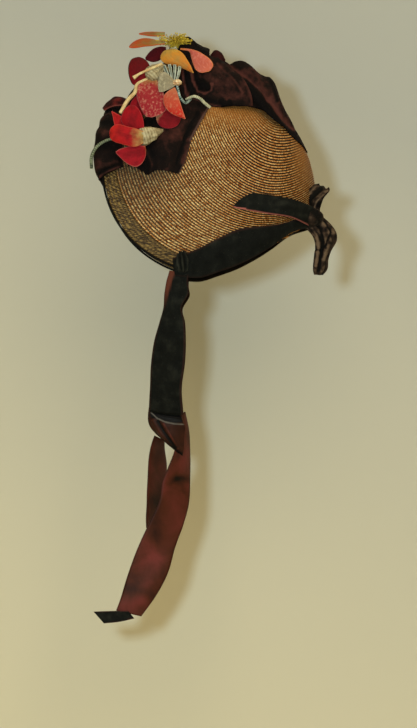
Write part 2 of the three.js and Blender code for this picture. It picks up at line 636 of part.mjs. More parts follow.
const ROD_COLUMNS = "x y z r";
const RODS = {
  calyx_a: table(ROD_COLUMNS, [[78, -64, -36, 7], [76, -55, -33, 6.2], [72, -47, -31, 4], [66, -41, -30, 1.6],
    [50, -37, -29, 1.3]]),
  calyx_b: table(ROD_COLUMNS, [[62, -48, 16, 6], [58, -44, 20, 4.6], [50, -40, 24, 2.4], [36, -34, 22, 1.5]]),
  stalk_c: table(ROD_COLUMNS, [[30, -30, 42, 3], [28, -28, 37, 2.4], [26, -26, 26, 1.5], [24, -24, 18, 1.5]]),
  spur_b1: table(ROD_COLUMNS, [[60, -39.6, 27.5, 1.9], [64, -49, 23.5, 1.6], [66, -58, 19.5, 1.5],
    [67, -64, 15.6, 2.0]]),
  spur_b2: table(ROD_COLUMNS, [[57, -52, 15, 1.2], [59, -61, 10, 1.3], [63, -63, 3, 1.6],
    [68, -68.8, -3.4, 1.7], [73, -75.5, -14.5, 1.4]]),
  stem_left: table(ROD_COLUMNS, [[72, -66, -37, 1.2], [64, -83, -37, 1.2], [62, -92.5, -41, 1.3],
    [63, -97.5, -46, 1.4], [63, -100.3, -53, 1.4], [62, -100.2, -62.5, 1.4]]),
  stem_right: table(ROD_COLUMNS, [[46, -19, -3, 1.6], [47, -11, -0.5, 1.8], [46, -6, -3, 1.9],
    [43, -2.5, -7.5, 1.9], [40, 2, -11, 1.9]]),
  stem_teal: table(ROD_COLUMNS, [[58, -27, 10, 1.0], [58, -24, -1, 1.1], [52, -19.5, -6, 1.1],
    [44, -15, -3, 1.1]]),
};
const LUMPS = {
  stamens_c: { x: 30, y: -29, z: 48, hx: 13, hy: 15, hz: 5.5 },
  knob_b: { x: 57, y: -28, z: 12, hx: 5, hy: 4, hz: 2.6 },
};

const COLOURS = {
  straw: 0xa8743c, olive: 0x6a5a3e, black: 0x1c1a17, velvet: 0x33201b, brown: 0x4a332a, satin: 0x5e3024,
  red: 0xb0241f, dark_red: 0x6d1a1f, orange: 0xe08a3c, pink: 0xc85a4a, cream: 0xc8b78c, green: 0x8c9a72,
  yellow: 0xd8b32c, sepal: 0x8d8a6a,
};

const tieRows = free(TIE);
const loopRows = sideRows(FRONT_LOOP);
const tailRows = bowTailRows();

// Every piece off the straw in building order: its name, its colour, and its solid for a given clearance.
const PIECES = [
  ["nape_band", "black", strip(napeRows(), 24, 2)],
  ["bow_tail_left", "black", strip(tailRows, 8, 3)],
  ["bow_tail_right", "black", strip(mirrored(tailRows), 8, 3)],
  ["bow_knot", "brown", lump(BOW_KNOT, 10)],
  ["bow_upper_loop", "brown", strip(free(BOW_UPPER_LOOP), 10, 3)],
  ["bow_lower_loop", "brown", strip(free(BOW_LOWER_LOOP), 9, 4)],
  ["front_drape", "velvet", frontDrape],
  ["front_loop_left", "velvet", strip(loopRows, 7, 5)],
  ["front_loop_right", "velvet", strip(mirrored(loopRows), 7, 5)],
  ["crown_drape", "velvet", arches(CROWN_DRAPE, 8, 12, { folds: 7, depth: 1 })],
  ["back_puff", "velvet", arches(BACK_PUFF, 9, 10, { folds: 4, depth: 0.8 })],
  ["top_ridge_loop", "velvet", arches(TOP_RIDGE, 6, 8)],
  ["small_puff", "velvet", arches(SMALL_PUFF, 5, 8)],
  ["front_loop_small", "dark_red", strip(free(SMALL_LOOP), 5, 3)],
  ...Object.entries(RODS).map(([name, rows]) => [name, "green", rod(rows, 7, 6)]),
  ...Object.entries(LUMPS).map(([name, row]) => [name, "yellow", lump(row, 10)]),
  ...PETALS.map((row) => [row.name, row.name.startsWith("petal") ? "red" : "sepal", petal(row)]),
  ["side_knot_left", "black", lump(SIDE_KNOT, 8)],
  ["side_knot_right", "black", lump(SIDE_KNOT, 8, -1)],
  ["tie_left", "black", strip(tieRows, 11, 2)],
  ["tie_right", "black", strip(mirrored(tieRows), 11, 2)],
  ["chin_wrap_left", "satin", strip(free(CHIN_WRAP), 6, 4)],
  ["chin_wrap_right", "satin", strip(mirrored(free(CHIN_WRAP)), 6, 4)],
  ["chin_loop", "black", strip(free(CHIN_LOOP), 4, 4)],
  ["tail_front", "satin", strip(free(TAIL_FRONT), 13, 2)],
  ["tail_back", "satin", strip(free(TAIL_BACK), 7, 2)],
  ["tail_front_end", "black", strip(free(TAIL_FRONT_END), 4, 2)],
];

function bindingRing(v, grow) {
  const centre = rimPoint(v, BINDING.reach, STRAW / 2);
  const outwards = rimPoint(v, BINDING.reach + 1, STRAW / 2).sub(centre);
  const normal = strawNormal(1, v);
  return Array.from({ length: BINDING.sides }, (_, j) => {
    const angle = (2 * Math.PI * j) / BINDING.sides;
    const r = BINDING.radius + grow;
    return centre.clone().addScaledVector(outwards, r * Math.cos(angle))
      .addScaledVector(normal, r * Math.sin(angle));
  });
}

/** A thin round piping just outside the rim, from ear to ear. */
function edgeBinding(grow) {
  const steps = BINDING.steps;
  const rings = Array.from({ length: steps + 1 }, (_, i) => {
    return bindingRing(BINDING.ear * ((2 * i) / steps - 1), grow);
  });
  return lofted(rings);
}

/** The mesh of a solid, in flat-faced triangles. */
function meshOf(name, colour, solid) {
  const { vertProperties, triVerts, numProp } = solid.getMesh();
  const geometry = new THREE.BufferGeometry();
  const positions = new Float32Array((vertProperties.length / numProp) * 3);
  for (let i = 0; i < positions.length / 3; i += 1) {
    for (let k = 0; k < 3; k += 1) positions[3 * i + k] = vertProperties[i * numProp + k];
  }
  geometry.setAttribute("position", new THREE.BufferAttribute(positions, 3));
  geometry.setIndex(new THREE.BufferAttribute(new Uint32Array(triVerts), 1));
  const material = new THREE.MeshStandardMaterial({
    color: COLOURS[colour], roughness: 0.9, metalness: 0,
  });
  const mesh = new THREE.Mesh(geometry, material);
  mesh.name = name;
  return mesh;
}

/** Cuts each piece clear of those before it and keeps its largest part. */
function assemble() {
  const group = new THREE.Group();
  const placed = [];
  const add = (name, colour, make, avoid) => {
    const cut = avoid.reduce((solid, clearance) => solid.subtract(clearance), make(0));
    const parts = cut.decompose().sort((p, q) => q.volume() - p.volume());
    group.add(meshOf(name, colour, parts[0]));
    placed.push(make(GAP));
  };
  add("straw_shell", "straw", strawShell, []);
  add("front_braid", "olive", frontBraid, placed);
  add("edge_binding", "black", edgeBinding, placed);
  const inside = strawFill(GAP);
  for (const [name, colour, make] of PIECES) {
    add(name, colour, make, make === frontDrape ? placed : [inside, ...placed]);
  }
  return group;
}

export default assemble();
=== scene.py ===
"""Looks of a small bonnet of sewn straw plait with velvet trimming, cloth flowers and chin ties.

Outlines are in millimetres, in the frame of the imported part: +Z up, the face looks along -Y and the
wearer's left is +X. Meshes are made in metres.
"""

import logging
import math
from dataclasses import dataclass, field
from enum import Enum
from typing import ClassVar

import bpy
import numpy as np
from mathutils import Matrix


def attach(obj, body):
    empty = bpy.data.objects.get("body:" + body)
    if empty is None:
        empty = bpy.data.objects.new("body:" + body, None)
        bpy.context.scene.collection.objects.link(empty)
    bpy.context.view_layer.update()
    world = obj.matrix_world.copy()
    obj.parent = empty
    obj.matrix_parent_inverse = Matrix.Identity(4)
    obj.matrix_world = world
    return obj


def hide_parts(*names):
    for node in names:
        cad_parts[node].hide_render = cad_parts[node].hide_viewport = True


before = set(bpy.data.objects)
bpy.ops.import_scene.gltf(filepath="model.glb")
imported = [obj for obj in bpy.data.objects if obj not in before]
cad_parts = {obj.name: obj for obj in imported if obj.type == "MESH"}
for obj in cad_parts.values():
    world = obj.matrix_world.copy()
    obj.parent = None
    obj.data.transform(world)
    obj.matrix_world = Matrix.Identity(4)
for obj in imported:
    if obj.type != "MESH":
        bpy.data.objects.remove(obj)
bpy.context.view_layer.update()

Array = np.ndarray
Paint = np.ndarray | float
Rows = tuple[tuple[float, ...], ...]
Place = tuple[float, float, float]
Tree = bpy.types.NodeTree
Socket = bpy.types.NodeSocket
log = logging.getLogger("bonnet")

MM = 0.001
VIEW_DISTANCE = 3000.0
VIEW_HEIGHT = -230.0
CLOTH_MM = 0.9
PETAL_MM = 0.7
# Cloth on the straw clears its rings by the wall, its ridges and half the cloth.
CLEAR = 2.2
# How much a bend in the cloth lights or darkens its pile.
BEND_GAIN = 0.8
FLIP = np.array([-1, 1, 1])
BLACK = "#000000"
WHITE = "#ffffff"


class Held(Enum):
    """How a sheet of cloth is held."""

    DRAPED = "draped"
    HUNG = "hung"
    GATHERED = "gathered"
    FOLDED = "folded"
    STRETCHED = "stretched"


def seen(points: Array) -> Array:
    """True places of points given as they look from the left: y and z shrink to the eye's axis with x."""
    shrink = 1 - points[..., 0] / VIEW_DISTANCE
    height = VIEW_HEIGHT + (points[..., 2] - VIEW_HEIGHT) * shrink
    return np.stack([points[..., 0], points[..., 1] * shrink, height], -1)


def looks(points: Array) -> Array:
    """The y and z that true places look to be at, from the side they are on."""
    shrink = 1 - np.abs(points[..., 0]) / VIEW_DISTANCE
    return np.stack([points[..., 1] / shrink, VIEW_HEIGHT + (points[..., 2] - VIEW_HEIGHT) / shrink], -1)


def hermite(a: Array, b: Array, leaving: Array, arriving: Array, s: Array) -> Array:
    """The cubic from a to b that leaves and arrives with two tangents, at shares s of the way."""
    start = (a * (1 + 2 * s) + leaving * s) * (1 - s) ** 2
    return start + (b * (3 - 2 * s) - arriving * (1 - s)) * s * s


def monotone(ts: Array, values: Array, at: Array) -> Array:
    """Reads rows joined by a cubic that never overshoots: its slopes are harmonic means of the steps.

    Args:
        ts: where the rows are, rising.
        values: one row of numbers at each.
        at: where to read, of any shape.

    Returns:
        The numbers there, in one more axis.
    """
    steps = np.diff(ts)[:, None]
    slopes = np.diff(values, axis=0) / steps
    w1, w2 = 2 * steps[1:] + steps[:-1], steps[1:] + 2 * steps[:-1]
    same = slopes[:-1] * slopes[1:] > 0
    before, after = np.where(same, slopes[:-1], 1), np.where(same, slopes[1:], 1)
    inner = np.where(same, (w1 + w2) / (w1 / before + w2 / after), 0)
    tangents = np.vstack([slopes[:1], inner, slopes[-1:]])
    at = np.asarray(at, float)
    i = np.clip(np.searchsorted(ts, at, side="right") - 1, 0, len(ts) - 2)
    s = (at - ts[i])[..., None] / steps[i]
    return hermite(values[i], values[i + 1], steps[i] * tangents[i], steps[i] * tangents[i + 1], s)


def even(values: Array, at: Array) -> Array:
    """The same for rows spaced evenly from 0 to 1."""
    return monotone(np.linspace(0, 1, len(values)), values, at)


def centripetal(rows: Array, at: Array) -> Array:
    """Points at shares of the way on a Catmull-Rom curve, its knots spaced by the root of each chord."""
    line = np.vstack([2 * rows[0] - rows[1], rows, 2 * rows[-1] - rows[-2]])
    place = np.asarray(at) * (len(rows) - 1)
    i = np.clip(np.floor(place).astype(int), 0, len(rows) - 2)
    p0, p1, p2, p3 = line[i], line[i + 1], line[i + 2], line[i + 3]
    spans = ((p0, p1), (p1, p2), (p2, p3))
    d0, d1, d2 = (np.sqrt(np.linalg.norm(b - a, axis=1) + 1e-6)[:, None] for a, b in spans)
    leaving = ((p1 - p0) / d0 - (p2 - p0) / (d0 + d1) + (p2 - p1) / d1) * d1
    arriving = ((p2 - p1) / d1 - (p3 - p1) / (d1 + d2) + (p3 - p2) / d2) * d1
    return hermite(p1, p2, leaving, arriving, (place - i)[:, None])


def unit(vectors: Array) -> Array:
    """Vectors of length one."""
    return vectors / np.maximum(np.linalg.norm(vectors, axis=-1, keepdims=True), 1e-9)


def normals_of(grid: Array) -> Array:
    """Outward directions of a grid: the step along its rows crossed with the step across them."""
    return unit(np.cross(np.gradient(grid, axis=0), np.gradient(grid, axis=1)))


def raised(grid: Array, height: Array) -> Array:
    """A grid moved out along its own normals."""
    return grid + normals_of(grid) * height[..., None]


def mirrored(grid: Array) -> Array:
    """The same grid on the wearer's other side, its rows turned so that it still faces outwards."""
    return (grid * FLIP)[:, ::-1]


def shares(grid: Array) -> tuple[Array, Array]:
    """Shares of the way along and across a grid."""
    rows, cols = grid.shape[:2]
    return np.linspace(0, 1, rows)[:, None], np.linspace(0, 1, cols)[None]


def lengths(grid: Array, axis: int) -> Array:
    """Length so far along one axis of a grid, in millimetres."""
    steps = np.linalg.norm(np.diff(grid, axis=axis), axis=-1)
    start = np.zeros_like(np.take(steps, [0], axis=axis))
    return np.concatenate([start, np.cumsum(steps, axis=axis)], axis=axis)


def ripple(u: Array, v: Array, seed: int) -> Array:
    """Soft random waves from about -1 to 1: a sum of five sines with seeded directions, sizes and phases.

    Args:
        u: first coordinate, in waves.
        v: second coordinate, in waves.
        seed: which set of waves.

    Returns:
        The height at each place.
    """
    draw, count = np.random.default_rng(seed), 5
    total = np.zeros(np.broadcast(u, v).shape)
    for _ in range(count):
        way, size, phase = draw.uniform(0, 2 * np.pi), draw.uniform(0.6, 1.7), draw.uniform(0, 2 * np.pi)
        total = total + np.sin(2 * np.pi * size * (u * np.cos(way) + v * np.sin(way)) + phase)
    return total / count * 1.6


@dataclass
class Surface:
    """A closed mesh in millimetres, with one pattern coordinate and some painted values at each point."""

    points: Array
    faces: list
    uv: Array
    paint: dict[str, Array] = field(default_factory=dict)

    def outward(self) -> "Surface":
        """The same surface with its faces turned outwards, by the sign of the volume they enclose."""
        corners = np.array([[face[0], b, c] for face in self.faces for b, c in zip(face[1:-1], face[2:])])
        a, b, c = (self.points[corners[:, k]] for k in range(3))
        if float(np.einsum("ij,ij->i", a, np.cross(b, c)).sum()) < 0:
            self.faces = [face[::-1] for face in self.faces]
        return self


def quads(index: Array) -> Array:
    """The four corners of each cell of an index grid, turning from the rows' way to the columns' way."""
    return np.stack([index[:-1, :-1], index[1:, :-1], index[1:, 1:], index[:-1, 1:]], -1).reshape(-1, 4)


def around_once(index: Array) -> Array:
    """An index grid or a grid of points whose last column meets its first."""
    return np.concatenate([index, index[:, :1]], 1)


def ring_faces(rows: int, cols: int) -> list:
    """Faces of rings of points one after another, with a fan at each end to the two points after them."""
    ring, pole = around_once(np.arange(rows * cols).reshape(rows, cols)), rows * cols
    fans = [[ring[0, j], ring[0, j + 1], pole] for j in range(cols)]
    fans += [[ring[-1, j + 1], ring[-1, j], pole + 1] for j in range(cols)]
    return quads(ring).tolist() + fans


def wall(grid: Array, thickness: Paint, paint: dict[str, Paint]) -> Surface:
    """A closed cloth wall: both faces lie half the thickness off the grid, along its normals.

    Args:
        grid: the cloth's middle.
        thickness: one number, or one for each point.
        paint: painted values, each one number or one for each point.

    Returns:
        The wall, with the pattern coordinate in millimetres across and along.
    """
    rows, cols = grid.shape[:2]
    half = np.broadcast_to(np.asarray(thickness, float), (rows, cols)) / 2
    points = np.concatenate([raised(grid, half).reshape(-1, 3), raised(grid, -half).reshape(-1, 3)])
    front = np.arange(rows * cols).reshape(rows, cols)
    back = front + rows * cols
    rims = [
        (front[:, 0], back[:, 0]), (back[:, -1], front[:, -1]), (back[0], front[0]), (front[-1], back[-1]),
    ]
    faces = [quads(front), quads(back)[:, ::-1], *(quads(np.stack(rim)) for rim in rims)]
    uv = np.stack([lengths(grid, 1), lengths(grid, 0)], -1).reshape(-1, 2)
    spread = {name: np.broadcast_to(value, (rows, cols)).ravel() for name, value in paint.items()}
    painted = {name: np.tile(value, 2) for name, value in spread.items()}
    return Surface(points, np.concatenate(faces).tolist(), np.tile(uv, (2, 1)), painted).outward()


def tube(path: Array, radius: Array, sides: int, ribs: int = 0, depth: float = 0.0) -> Surface:
    """A rod round a path, its ends closed: each ring is a circle, with ribs as a wave of its radius.

    Args:
        path: points of the middle line.
        radius: the radius at each.
        sides: points in a ring.
        ribs: waves in a ring.
        depth: their height as a share of the radius.

    Returns:
        The rod, with the pattern coordinate in shares round and millimetres along.
    """
    way = unit(np.gradient(path, axis=0))
    first = unit(np.cross(way, np.array([0.31, 0.2, 0.93])))
    angle = np.arange(sides) * 2 * np.pi / sides
    reach = radius[:, None] * (1 + depth * np.cos(ribs * angle))[None]
    turn = angle[None, :, None]
    ring = first[:, None] * np.cos(turn) + np.cross(way, first)[:, None] * np.sin(turn)
    rings = path[:, None] + ring * reach[..., None]
    points = np.concatenate([rings.reshape(-1, 3), path[:1] - way[:1] * 0.3, path[-1:] + way[-1:] * 0.3])
    far = lengths(path[:, None], 0)
    uv = np.stack(np.broadcast_arrays(angle / (2 * np.pi), far), -1).reshape(-1, 2)
    ends = np.array([[0.5, 0.0], [0.5, float(far[-1, 0])]])
    return Surface(points, ring_faces(len(path), sides), np.concatenate([uv, ends])).outward()


def lump(centre: Array, half: Place, seed: int, folds: int, depth: float) -> Surface:
    """A knot of cloth: an ellipsoid whose radius waves round an upright axis, as gathered folds do.

    Args:
        centre: its middle.
        half: its half sizes.
        seed: which random waves are added.
        folds: how many folds go round.
        depth: their height as a share of the radius.

    Returns:
        The lump.
    """
    rows, cols = 25, 48
    polar = np.linspace(0.06, np.pi - 0.06, rows)[:, None]
    turn = np.arange(cols)[None] * 2 * np.pi / cols
    wave = np.cos(folds * turn + 1.8 * np.cos(polar)) * np.sin(polar)
    reach = 1 + depth * wave + depth * 0.6 * ripple(np.cos(turn) * 1.1 + polar, np.sin(turn) * 1.1, seed)
    upright = np.cos(polar) + 0 * turn
    ball = np.stack([np.sin(polar) * np.cos(turn), np.sin(polar) * np.sin(turn), upright], -1)
    grid = centre + ball * reach[..., None] * np.array(half)
    points = np.concatenate([grid.reshape(-1, 3), grid[:1].mean(1), grid[-1:].mean(1)])
    uv = np.stack(np.broadcast_arrays(turn, polar), -1).reshape(-1, 2) * half[2]
    # Painted light on the crests of the folds and painted shade in their grooves.
    tone = np.concatenate([(wave * 0.8).ravel(), [0, 0]])
    return Surface(points, ring_faces(rows, cols), np.concatenate([uv, uv[:2]]), {"tone": tone}).outward()


@dataclass(frozen=True)
class Crease:
    """A ridge, fold or hollow along a line seen from the side; its height falls off as a bell curve."""

    line: Rows
    width: float
    height: float
    # Painted light along a ridge and painted shade along a hollow; where the crease has no height, a stain.
    tone: float

    def strength(self, grid: Array) -> Array:
        """The bell curve of each point's distance from the line, on the left and on the right side."""
        flat, line = looks(grid), np.array(self.line)
        nearest = np.full(grid.shape[:2], 1e9)
        for start, end in zip(line[:-1], line[1:]):
            way = end - start
            share = np.clip(((flat - start) @ way) / (way @ way), 0, 1)
            nearest = np.minimum(nearest, np.linalg.norm(flat - start - share[..., None] * way, axis=-1))
        return np.exp(-((nearest / self.width) ** 2))


def creased(grid: Array, creases: tuple[Crease, ...]) -> tuple[Array, Array]:
    """Raises and sinks a grid along creases, and gives the painted light, shade and stains that their tones
    paint on it.
    """
    bells = [crease.strength(grid) for crease in creases]
    height = sum(bell * crease.height for bell, crease in zip(bells, creases))
    return raised(grid, height), sum(bell * crease.tone for bell, crease in zip(bells, creases))


def bend_light_and_shade(grid: Array) -> Array:
    """Painted light and shade: lighter where the cloth bulges outwards and darker where it turns in, by its
    curvature.
    """
    rows = np.pad(np.diff(grid, 2, axis=0), ((1, 1), (0, 0), (0, 0)))
    cols = np.pad(np.diff(grid, 2, axis=1), ((0, 0), (1, 1), (0, 0)))
    size = np.maximum(np.linalg.norm(np.gradient(grid, axis=1), axis=-1), 0.2)
    return np.clip(-BEND_GAIN * ((rows + cols) * normals_of(grid)).sum(-1) / size, -1, 1)


def hairline(grid: Array, low: float, high: float, width_mm: float = 0.8) -> Array:
    """Painted selvedges: 1 within a width of either long edge, times a share for each edge."""
    across = lengths(grid, 1)
    rest = across[:, -1:] - across
    return np.clip(low * (across < width_mm) + high * (rest < width_mm), 0, 1)


def linear(colour: str) -> tuple[float, float, float, float]:
    """An sRGB hex colour as linear numbers: each channel goes through the sRGB curve."""
    channels = [int(colour[k : k + 2], 16) / 255 for k in (1, 3, 5)]
    return (*[c / 12.92 if c <= 0.04045 else ((c + 0.055) / 1.055) ** 2.4 for c in channels], 1.0)


def grey(share: float) -> str:
    """A grey as sRGB hex."""
    return "#%02x%02x%02x" % ((int(255 * share),) * 3)


def per_metre(size_mm: float) -> float:
    """A texture's scale for features of a real size."""
    return 1 / (size_mm * MM)


# The setting that a node's second word names, its inputs in order, and the output that is read.
SETTING = {
    "Math": "operation",
    "VectorMath": "operation",
    "Mix": "data_type",
    "Attribute": "attribute_name",
    "UVMap": "uv_map",
}
INPUTS = {"Mix": (0, 6, 7)}
OUTPUT = {
    "Mix": 2,
    "Attribute": "Fac",
    "TexCoord": "Object",
    "NewGeometry": "Backfacing",
    "DOT_PRODUCT": "Value",
}


def add(
    tree: Tree, kind: str, *values: object, stops: list | None = None, out: str | int = 0, **named: object
) -> Socket:
    """Adds a node with its settings and links.

    Args:
        tree: the material's nodes.
        kind: the node's type without its usual beginning, and after a space its mode or the name it reads.
        values: a number, a hex colour or another node's output for each input in order.
        stops: the places and hex colours of a colour ramp.
        out: which output is read, where it isn't the usual one.
        named: the same for inputs by name, with _ for each space.

    Returns:
        The output.
    """
    kind, _, mode = kind.partition(" ")
    node = tree.nodes.new("ShaderNode" + kind)
    if mode:
        setattr(node, SETTING[kind], mode)
    pairs = [*zip(INPUTS.get(kind, range(len(values))), values)]
    for key, value in pairs + [(name.replace("_", " "), value) for name, value in named.items()]:
        if isinstance(value, Socket):
            tree.links.new(value, node.inputs[key])
        else:
            node.inputs[key].default_value = linear(value) if isinstance(value, str) else value
    if stops:
        elements = node.color_ramp.elements
        elements[0].position, elements[0].color = stops[0][0], linear(stops[0][1])
        elements[1].position, elements[1].color = stops[-1][0], linear(stops[-1][1])
        for place, colour in stops[1:-1]:
            elements.new(place).color = linear(colour)
    return node.outputs[out or OUTPUT.get(mode) or OUTPUT.get(kind, 0)]


@dataclass(frozen=True)
class Finish:
    """A material to be made once and shared, and the name of the record's slot for it."""

    name: str
    slot: str
    kind: ClassVar[str] = ""

    def make(self) -> bpy.types.Material:
        """The Blender material."""
        made = bpy.data.materials.get(self.name)
        if made:
            return made
        made = bpy.data.materials.new(self.name)
        made.use_nodes = True
        tree = made.node_tree
        tree.nodes.clear()
        shader = self.shade(tree, add(tree, "TexCoord"))
        tree.links.new(shader, tree.nodes.new("ShaderNodeOutputMaterial").inputs["Surface"])
        return made

    def shade(self, tree: Tree, place: Socket) -> Socket:
        """Builds the nodes round the object's own coordinates and returns the shader."""
        raise NotImplementedError


@dataclass(frozen=True)
class SewnPlait(Finish):
    """Wheat straw split and plaited into narrow braids that are sewn row on row.

    Each row is painted lighter on its rounded back and has painted shade where the next one overlaps it;
    the strands cross it in a chevron. Straw is a hard, slightly waxy stem, so it has a soft gloss.
    """

    gap: str
    strand_shade: str
    body: str
    bright: str
    smooth: str
    chevron_mm: float = 2.1
    fleck_mm: float = 0.85
    flat_share: float = 0.16
    fleck_gain: float = 2.4
    fibre_mm: float = 1.6
    dirt: str = "#2c2519"
    dirt_share: float = 0.12
    dirt_mm: float = 26.0
    kind: ClassVar[str] = "plait"

    def shade(self, tree: Tree, place: Socket) -> Socket:
        """Colours from the row's painted light and shade and the chevron, toned by the painted values."""
        uv = add(tree, "UVMap rows")
        along, rows = (add(tree, "SeparateXYZ", uv, out=axis) for axis in "XY")
        across = add(tree, "Math FRACT", rows)
        arm = add(tree, "Math ABSOLUTE", add(tree, "Math SUBTRACT", across, 0.5))
        steps = add(tree, "Math MULTIPLY", along, 1 / self.chevron_mm)
        slanted = add(tree, "Math MULTIPLY_ADD", arm, 1.5, steps)
        strand = add(tree, "Math SINE", add(tree, "Math MULTIPLY", slanted, 2 * math.pi))
        fibre = add(tree, "TexNoise", Vector=place, Scale=per_metre(self.fibre_mm), Detail=3.0)
        mixed = add(tree, "Math MULTIPLY_ADD", strand, 0.12, fibre)
        spot = add(tree, "Math MULTIPLY", along, 1 / self.fleck_mm)
        apart = add(tree, "Math MULTIPLY", add(tree, "Math FLOOR", rows), 3.7)
        glint = add(tree, "TexNoise", Vector=add(tree, "CombineXYZ", spot, apart), Scale=1.0, Detail=2.0)
        share = add(tree, "Attribute fleck")
        strong = add(tree, "Math MULTIPLY", share, self.fleck_gain)
        level = add(tree, "Math MULTIPLY_ADD", add(tree, "Math SUBTRACT", glint, 0.5), strong, mixed)
        stops = [(0.3, self.strand_shade), (0.5, self.body), (0.72, self.bright)]
        strands = add(tree, "ValToRGB", level, stops=stops)
        # Painted light on each row's rounded back and painted shade in the gap where the next row overlaps
        # it.
        stops = [(0.0, BLACK), (0.34, BLACK), (0.5, WHITE), (0.74, WHITE), (0.88, BLACK)]
        row_light = add(tree, "ValToRGB", across, stops=stops)
        full = add(tree, "Math MULTIPLY_ADD", share, self.flat_share, row_light)
        full.node.use_clamp = True
        sewn = add(tree, "Mix RGBA", full, self.gap, strands)
        calmed = add(tree, "Mix RGBA", add(tree, "Attribute calm"), sewn, self.smooth)
        # Random grime over the straw, and painted shade on the front third near the drapery.
        wide = add(tree, "TexNoise", Vector=place, Scale=per_metre(self.dirt_mm), Detail=3.0)
        darkening_share = add(tree, "Math MULTIPLY_ADD", wide, self.dirt_share, add(tree, "Attribute soil"))
        darkened = add(tree, "Mix RGBA", darkening_share, calmed, self.dirt)
        relief = add(tree, "Math MULTIPLY_ADD", strand, 0.5, fibre)
        bump = add(tree, "Bump", Height=relief, Distance=0.25 * MM, Strength=0.8)
        return add(
            tree, "BsdfPrincipled", Base_Color=darkened, Roughness=0.5, Specular_IOR_Level=0.15, Normal=bump
        )


@dataclass(frozen=True)
class Velvet(Finish):
    """Silk velvet: a cut pile on a plain ground, which drinks the light except where it is crushed.

    The painted tone is painted light on folds that bulge out and painted shade in hollows; old velvet carries
    lint and a pale selvedge.
    """

    deep: str
    pile: str
    rubbed_and_lit: str
    selvedge: str
    sheen: str
    sheen_share: float
    crush_mm: float = 9.0
    pile_mm: float = 0.9
    lint_mm: float = 1.3
    lint: str = "#6d655a"
    turned: str = "#5a2f22"
    kind: ClassVar[str] = "velvet"

    def shade(self, tree: Tree, place: Socket) -> Socket:
        """Pile colours by crush and by the painted light and shade of the tone, then lint, selvedge and the
        turned satin back.
        """
        crush = add(tree, "TexNoise", Vector=place, Scale=per_metre(self.crush_mm), Detail=5.0, Roughness=0.6)
        lifted = add(tree, "Math MULTIPLY_ADD", add(tree, "Attribute tone"), 0.45, crush)
        # The tone's painted shade goes towards the deep pile and its painted light towards the rubbed pile.
        stops = [(0.22, self.deep), (0.52, self.pile), (0.95, self.rubbed_and_lit)]
        colour = add(tree, "ValToRGB", lifted, stops=stops)
        specks = add(tree, "TexNoise", Vector=place, Scale=per_metre(self.lint_mm), Detail=2.0)
        few = add(tree, "ValToRGB", specks, stops=[(0.69, BLACK), (0.78, "#7a7a7a")])
        edge, back = (add(tree, "Attribute " + name) for name in ("edge", "turned"))
        for share, over in ((few, self.lint), (edge, self.selvedge), (back, self.turned)):
            colour = add(tree, "Mix RGBA", share, colour, over)
        pile = add(tree, "TexNoise", Vector=place, Scale=per_metre(self.pile_mm), Detail=4.0)
        height = add(tree, "Math MULTIPLY_ADD", crush, 2.2, pile)
        bump = add(tree, "Bump", Height=height, Distance=0.4 * MM, Strength=0.6)
        return add(
            tree, "BsdfPrincipled", Base_Color=colour, Roughness=0.85, Specular_IOR_Level=0.1,
            Sheen_Weight=self.sheen_share, Sheen_Roughness=0.38, Sheen_Tint=self.sheen, Normal=bump,
        )


@dataclass(frozen=True)
class RibbedSatin(Finish):
    """Silk satin ribbon, the back of the velvet ties: long floats over a fine rib, worn and water-marked.

    The rib runs across the ribbon and softens the gloss; stains are darker and duller. The painted tone
    also lightens folds that bulge out and shades hollows.
    """

    body: str
    worn: str
    stain_and_shade: str
    selvedge: str
    rib_mm: float = 1.1
    wear_mm: float = 22.0
    kind: ClassVar[str] = "satin"

    def shade(self, tree: Tree, place: Socket) -> Socket:
        """Colours by wear, stain, painted light and shade, and rib, with the selvedge at the edges."""
        along = add(tree, "SeparateXYZ", add(tree, "UVMap rows"), out="Y")
        rib = add(tree, "Math SINE", add(tree, "Math MULTIPLY", along, 2 * math.pi / self.rib_mm))
        wear = add(tree, "TexNoise", Vector=place, Scale=per_metre(self.wear_mm), Detail=5.0, Distortion=0.6)
        level = add(tree, "Math MULTIPLY_ADD", add(tree, "Attribute tone"), 0.5, wear)
        worn = add(tree, "ValToRGB", level, stops=[(0.02, self.stain_and_shade), (0.45, self.body), (0.95, self.worn)])
        dim = add(tree, "Math MULTIPLY_ADD", rib, 0.07, 0.07)
        ribbed = add(tree, "Mix RGBA", dim, worn, self.stain_and_shade)
        edged = add(tree, "Mix RGBA", add(tree, "Attribute edge"), ribbed, self.selvedge)
        height = add(tree, "Math MULTIPLY_ADD", rib, 0.25, wear)
        bump = add(tree, "Bump", Height=height, Distance=0.25 * MM, Strength=0.45)
        return add(
            tree, "BsdfPrincipled", Base_Color=edged, Roughness=0.55, Specular_IOR_Level=0.12,
            Sheen_Weight=0.04, Sheen_Tint=self.worn, Normal=bump,
        )


